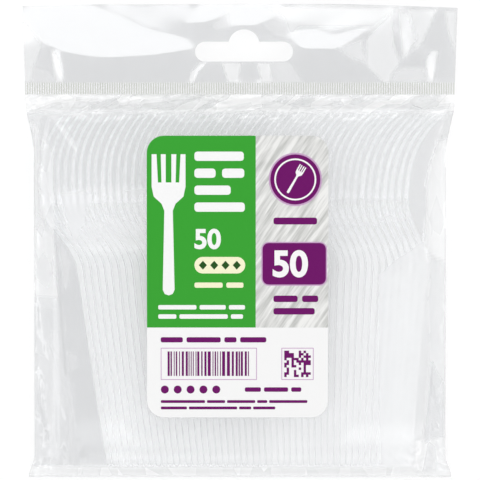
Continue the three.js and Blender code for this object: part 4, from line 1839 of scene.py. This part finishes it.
    def _codes(self) -> None:
        """Add a panel of upright bars and a panel of small squares, both drawn from a seed."""
        draw = np.random.default_rng(71)
        for left, bottom, right, top in ((-39.4, -69.6, 8.4, -53.6), (20.6, -69.6, 36.6, -53.6)):
            low, high = bottom + self.frame_width, top - self.frame_width
            frame = (
                (left, bottom, right, low),
                (left, high, right, top),
                (left, low, left + self.frame_width, high),
                (right - self.frame_width, low, right, high),
            )
            for box in frame:
                self._add(Ink.LILAC, 1, self.rounded(*box, 0.05, 1))
        cells, left, bottom = 11, 22.0, -68.2
        size = 13.2 / cells
        filled = draw.random((cells, cells)) < 0.5
        for row, column in np.argwhere(filled).tolist():
            x, y = left + column * size, bottom + row * size
            self._add(Ink.PURPLE, 1, [(x, y), (x + size, y), (x + size, y + size), (x, y + size)])
        x, end = -36.0, 4.6
        low, high = -67.6, -55.4
        while x < end:
            bar = float(draw.choice([0.45, 0.7, 1.05, 1.5]))
            self._add(Ink.PURPLE, 1, [(x, low), (x + bar, low), (x + bar, high), (x, high)])
            x += bar + float(draw.choice([0.4, 0.6, 0.9]))

    def _numerals(self) -> None:
        """Add the pack's count, once on the green field and once on the purple tab."""
        for left, bottom, height, layer in ((-22.6, -4.6, 10.2, 1), (16.2, -18.6, 13.6, 3)):
            curve = bpy.data.curves.new("count", "FONT")
            curve.body = self.count
            curve.offset = self.numeral_weight
            carrier = bpy.data.objects.new("count", curve)
            flat = carrier.to_mesh()
            corners = np.array([v.co[:2] for v in flat.vertices])
            size = corners[:, 1].max() - corners[:, 1].min()
            placed = (corners - corners.min(axis=0)) * (height / size) + (left, bottom)
            for polygon in flat.polygons:
                self._add(Ink.WHITE, layer, [tuple(placed[i]) for i in polygon.vertices])
            carrier.to_mesh_clear()
            bpy.data.objects.remove(carrier)
            bpy.data.curves.remove(curve)

    def _sheet(
        self, name: str, outlines: Iterable[Sequence[Point]], lift: float, thickness: float
    ) -> bpy.types.Object:
        """Make thin closed sheets that lie on the film and bend with it.

        Args:
            name: Name of the piece.
            outlines: Closed outlines, in millimetres.
            lift: Height of their undersides over the film.
            thickness: Their thickness.

        Returns:
            The piece.
        """
        shell = bmesh.new()
        for outline in outlines:
            shell.faces.new([shell.verts.new((x, y, 0)) for x, y in outline])
        bmesh.ops.remove_doubles(shell, verts=shell.verts, dist=1e-4)
        for y in np.arange(*self.bend_span):
            geometry = [*shell.verts, *shell.edges, *shell.faces]
            bmesh.ops.bisect_plane(shell, geom=geometry, plane_co=(0, float(y), 0), plane_no=(0, 1, 0))
        bmesh.ops.recalc_face_normals(shell, faces=shell.faces)
        for face in shell.faces:
            if face.normal.z < 0:
                face.normal_flip()
        grown = bmesh.ops.extrude_face_region(shell, geom=shell.faces[:])
        raised = {v for v in grown["geom"] if isinstance(v, bmesh.types.BMVert)}
        for vert in shell.verts:
            base = float(self.level(np.array(vert.co.y))) + lift
            vert.co.z = base + (thickness if vert in raised else 0)
        bmesh.ops.scale(shell, vec=(MM, MM, MM), verts=shell.verts)
        bmesh.ops.recalc_face_normals(shell, faces=shell.faces)
        mesh = bpy.data.meshes.new(name)
        shell.to_mesh(mesh)
        shell.free()
        piece = bpy.data.objects.new(name, mesh)
        bpy.context.scene.collection.objects.link(piece)
        smooth_faces(mesh, self.sharp_degrees)
        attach(piece, BODY)
        return piece

    def build(self) -> list[bpy.types.Object]:
        """Build and dress the card and its print.

        Returns:
            The pieces.
        """
        left = self.centre_x - self.width / 2
        outline = self.rounded(left, self.top - self.height, left + self.width, self.top, self.corner, 12)
        card = self._sheet("label_card", [outline], self.gap, self.thickness)
        card.data.materials.append(CardFinish().build())
        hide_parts("front_label")
        self._compose()
        self._numerals()
        inks = {ink: InkFinish(f"ink_{ink.name.lower()}", linear(*ink.value)).build() for ink in Ink}
        pieces = [card]
        order = sorted(self.shapes, key=lambda item: (item[1], item[0].name))
        for ink, layer in order:
            outlines = self.shapes[ink, layer]
            lift = self.gap + self.thickness + self.ink_lift * (layer - 1) + self.ink_gap
            piece = self._sheet(f"print_{ink.name.lower()}_{layer}", outlines, lift, self.ink_lift * 0.8)
            piece.data.materials.append(inks[ink])
            pieces.append(piece)
        LOG.info("label of %d pieces", len(pieces))
        return pieces


@dataclass
class Softbox:
    """A large soft lamp that shines straight down."""

    name: str
    place: tuple[float, float, float]
    size: tuple[float, float]
    radiance: float

    def build(self) -> bpy.types.Object:
        """Make the lamp.

        Returns:
            The lamp's object.
        """
        lamp = bpy.data.lights.new(self.name, "AREA")
        lamp.shape = "RECTANGLE"
        lamp.size, lamp.size_y = self.size
        lamp.energy = self.radiance * math.pi * self.size[0] * self.size[1]
        piece = bpy.data.objects.new(self.name, lamp)
        piece.location = self.place
        bpy.context.scene.collection.objects.link(piece)
        return piece


@dataclass
class Studio:
    """White floor, soft lamps with dim gaps between them, and a camera that looks straight down."""

    camera_height: float = 2.0
    view_width: float = 0.24
    view_level: float = 0.01
    sensor_width: float = 36
    clip_end: float = 50
    clear_bounces: int = 32
    zenith_level: float = 0.355
    horizon_level: float = 0.855
    horizon_rise: Point = (0.985, 0.6)
    floor_half: float = 3000.0
    floor_level: float = -0.4
    floor_bounce: float = 0.86
    floor_share: float = 0.55
    floor_glow: float = 0.455
    lamps: tuple[Softbox, ...] = (
        Softbox("lamp_foot", (0.0, -0.68, 1.3), (1.6, 0.5), 1.02),
        Softbox("lamp_head", (0.0, 0.62, 1.3), (1.6, 0.5), 1.82),
        Softbox("lamp_left", (-0.7, 0.05, 1.3), (0.7, 0.64), 1.78),
        Softbox("lamp_right", (0.75, 0.05, 1.3), (0.6, 0.64), 1.78),
    )

    @staticmethod
    def _seen(graph: Graph) -> Signal:
        """1 for rays that carry the picture's background: straight, mirrored or through glass."""
        names = ("Is Camera Ray", "Is Glossy Ray", "Is Transmission Ray")
        camera, glossy, through = (graph.node("ShaderNodeLightPath", out=name) for name in names)
        return camera.math("MAXIMUM", glossy).math("MAXIMUM", through)

    def floor(self) -> bpy.types.Object:
        """Build the floor, which looks white and keeps the pack's shadow.

        Returns:
            The floor.
        """
        signs = ((-1, -1), (1, -1), (1, 1), (-1, 1))
        corners = [(a * self.floor_half, b * self.floor_half, self.floor_level) for a, b in signs]
        floor = add_mesh("studio_floor", np.array(corners), [(0, 1, 2, 3)])
        material, graph = new_material("studio_white")
        greys = (self.floor_bounce, self.floor_share)
        bounce, shade = (graph.shader("Diffuse", (grey, grey, grey)) for grey in greys)
        light = {"Color": (*WHITE, 1), "Strength": self.floor_glow}
        glow = graph.node("ShaderNodeEmission", None, light)
        shown = graph.node("ShaderNodeAddShader", None, {0: shade, 1: glow})
        graph.surface(graph.blend(self._seen(graph), bounce, shown))
        floor.data.materials.append(material)
        return floor

    def world(self) -> None:
        """Light the pack from all sides, dimmer from above. The camera sees a white background."""
        world = bpy.data.worlds.new("studio_world")
        bpy.context.scene.world = world
        world.use_nodes = True
        graph = Graph(world.node_tree)
        camera = graph.node("ShaderNodeLightPath", out="Is Camera Ray")
        levels = (self.zenith_level, self.horizon_level, 1.0)
        lights = [{"Color": (*WHITE, 1), "Strength": level} for level in levels]
        zenith, horizon, white = (graph.node("ShaderNodeBackground", None, light) for light in lights)
        way = graph.node("ShaderNodeTexCoord", out="Generated")
        up = graph.node("ShaderNodeSeparateXYZ", None, {0: way}, out="Z")
        sky = graph.blend(graph.rise(up, self.horizon_rise), zenith, horizon)
        shown = graph.blend(camera, sky, white)
        output = world.node_tree.nodes.new("ShaderNodeOutputWorld")
        world.node_tree.links.new(shown.socket, output.inputs["Surface"])

    def camera(self) -> bpy.types.Object:
        """Build the camera.

        Returns:
            The camera's object.
        """
        data = bpy.data.cameras.new("pack_camera")
        data.sensor_width = self.sensor_width
        data.sensor_fit = "HORIZONTAL"
        data.lens = data.sensor_width * (self.camera_height - self.view_level) / self.view_width
        data.clip_end = self.clip_end
        piece = bpy.data.objects.new("pack_camera", data)
        piece.location = (0.0, 0.0, self.camera_height)
        bpy.context.scene.collection.objects.link(piece)
        bpy.context.scene.camera = piece
        return piece

    def build(self) -> None:
        """Build the whole studio."""
        self.floor()
        self.world()
        for lamp in self.lamps:
            lamp.build()
        self.camera()
        bpy.context.scene.view_settings.view_transform = "Standard"
        bpy.context.scene.cycles.transparent_max_bounces = self.clear_bounces
        LOG.info("studio with %d lamps", len(self.lamps))


def solid_corners(nodes: Iterable[bpy.types.Object]) -> Array:
    """Corners of some solids, in millimetres.

    Args:
        nodes: The solids.

    Returns:
        Rows of X, Y and Z.
    """
    clouds = []
    for node in nodes:
        flat = np.empty(3 * len(node.data.vertices))
        node.data.vertices.foreach_get("co", flat)
        clouds.append(flat.reshape(-1, 3))
    return np.concatenate(clouds) / MM


def silhouette(points: Array, side: int) -> list[Point]:
    """Outermost X of a fork at each level along the pack.

    Args:
        points: The fork's corners, in millimetres.
        side: 1 for its highest X, -1 for its lowest.

    Returns:
        Y and X of the outline, in order.
    """
    levels = np.round(points[:, 1] / OUTLINE_STEP) * OUTLINE_STEP
    outer = []
    for level in np.unique(levels):
        outer.append((float(level), float((side * points[levels == level, 0]).max() * side)))
    return outer


def main() -> None:
    """Build the pack's looks around the frame."""
    logging.basicConfig(level=logging.INFO, format="%(name)s: %(message)s")
    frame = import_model()
    nodes = frame["nodes"]
    row = ForkRow()
    row.build(nodes)
    low, high = (np.array(corner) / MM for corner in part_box("film_bag"))
    contents = solid_corners(node for name, node in nodes.items() if name.startswith("fork_"))
    crimp = high[1] - (FilmBag.header_height + FilmBag.crimp_height)
    foot = (low[1] + FOOT_INSET, FilmBag.seam_level * row.fork.handle_width)
    lines = FilmLines.over(contents, [foot, (crimp, FilmBag.crimp_level)], FILM_GAP, FILM_BANDS)
    first, last = (solid_corners([nodes[name]]) for name in ("fork_01", "fork_50"))
    edges = (silhouette(first, -1), silhouette(last, 1))
    card = tuple(tuple(np.array(corner[:2]) / MM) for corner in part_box("front_label"))
    bag = FilmBag(lines, edges, card, low, high, float(contents[:, 1].max()) + FILM_GAP)
    bag.build()
    label = FrontLabel(lambda y: bag.front_level(y) + bag.film)
    label.build()
    Studio().build()


if __name__ == "__main__":
    main()
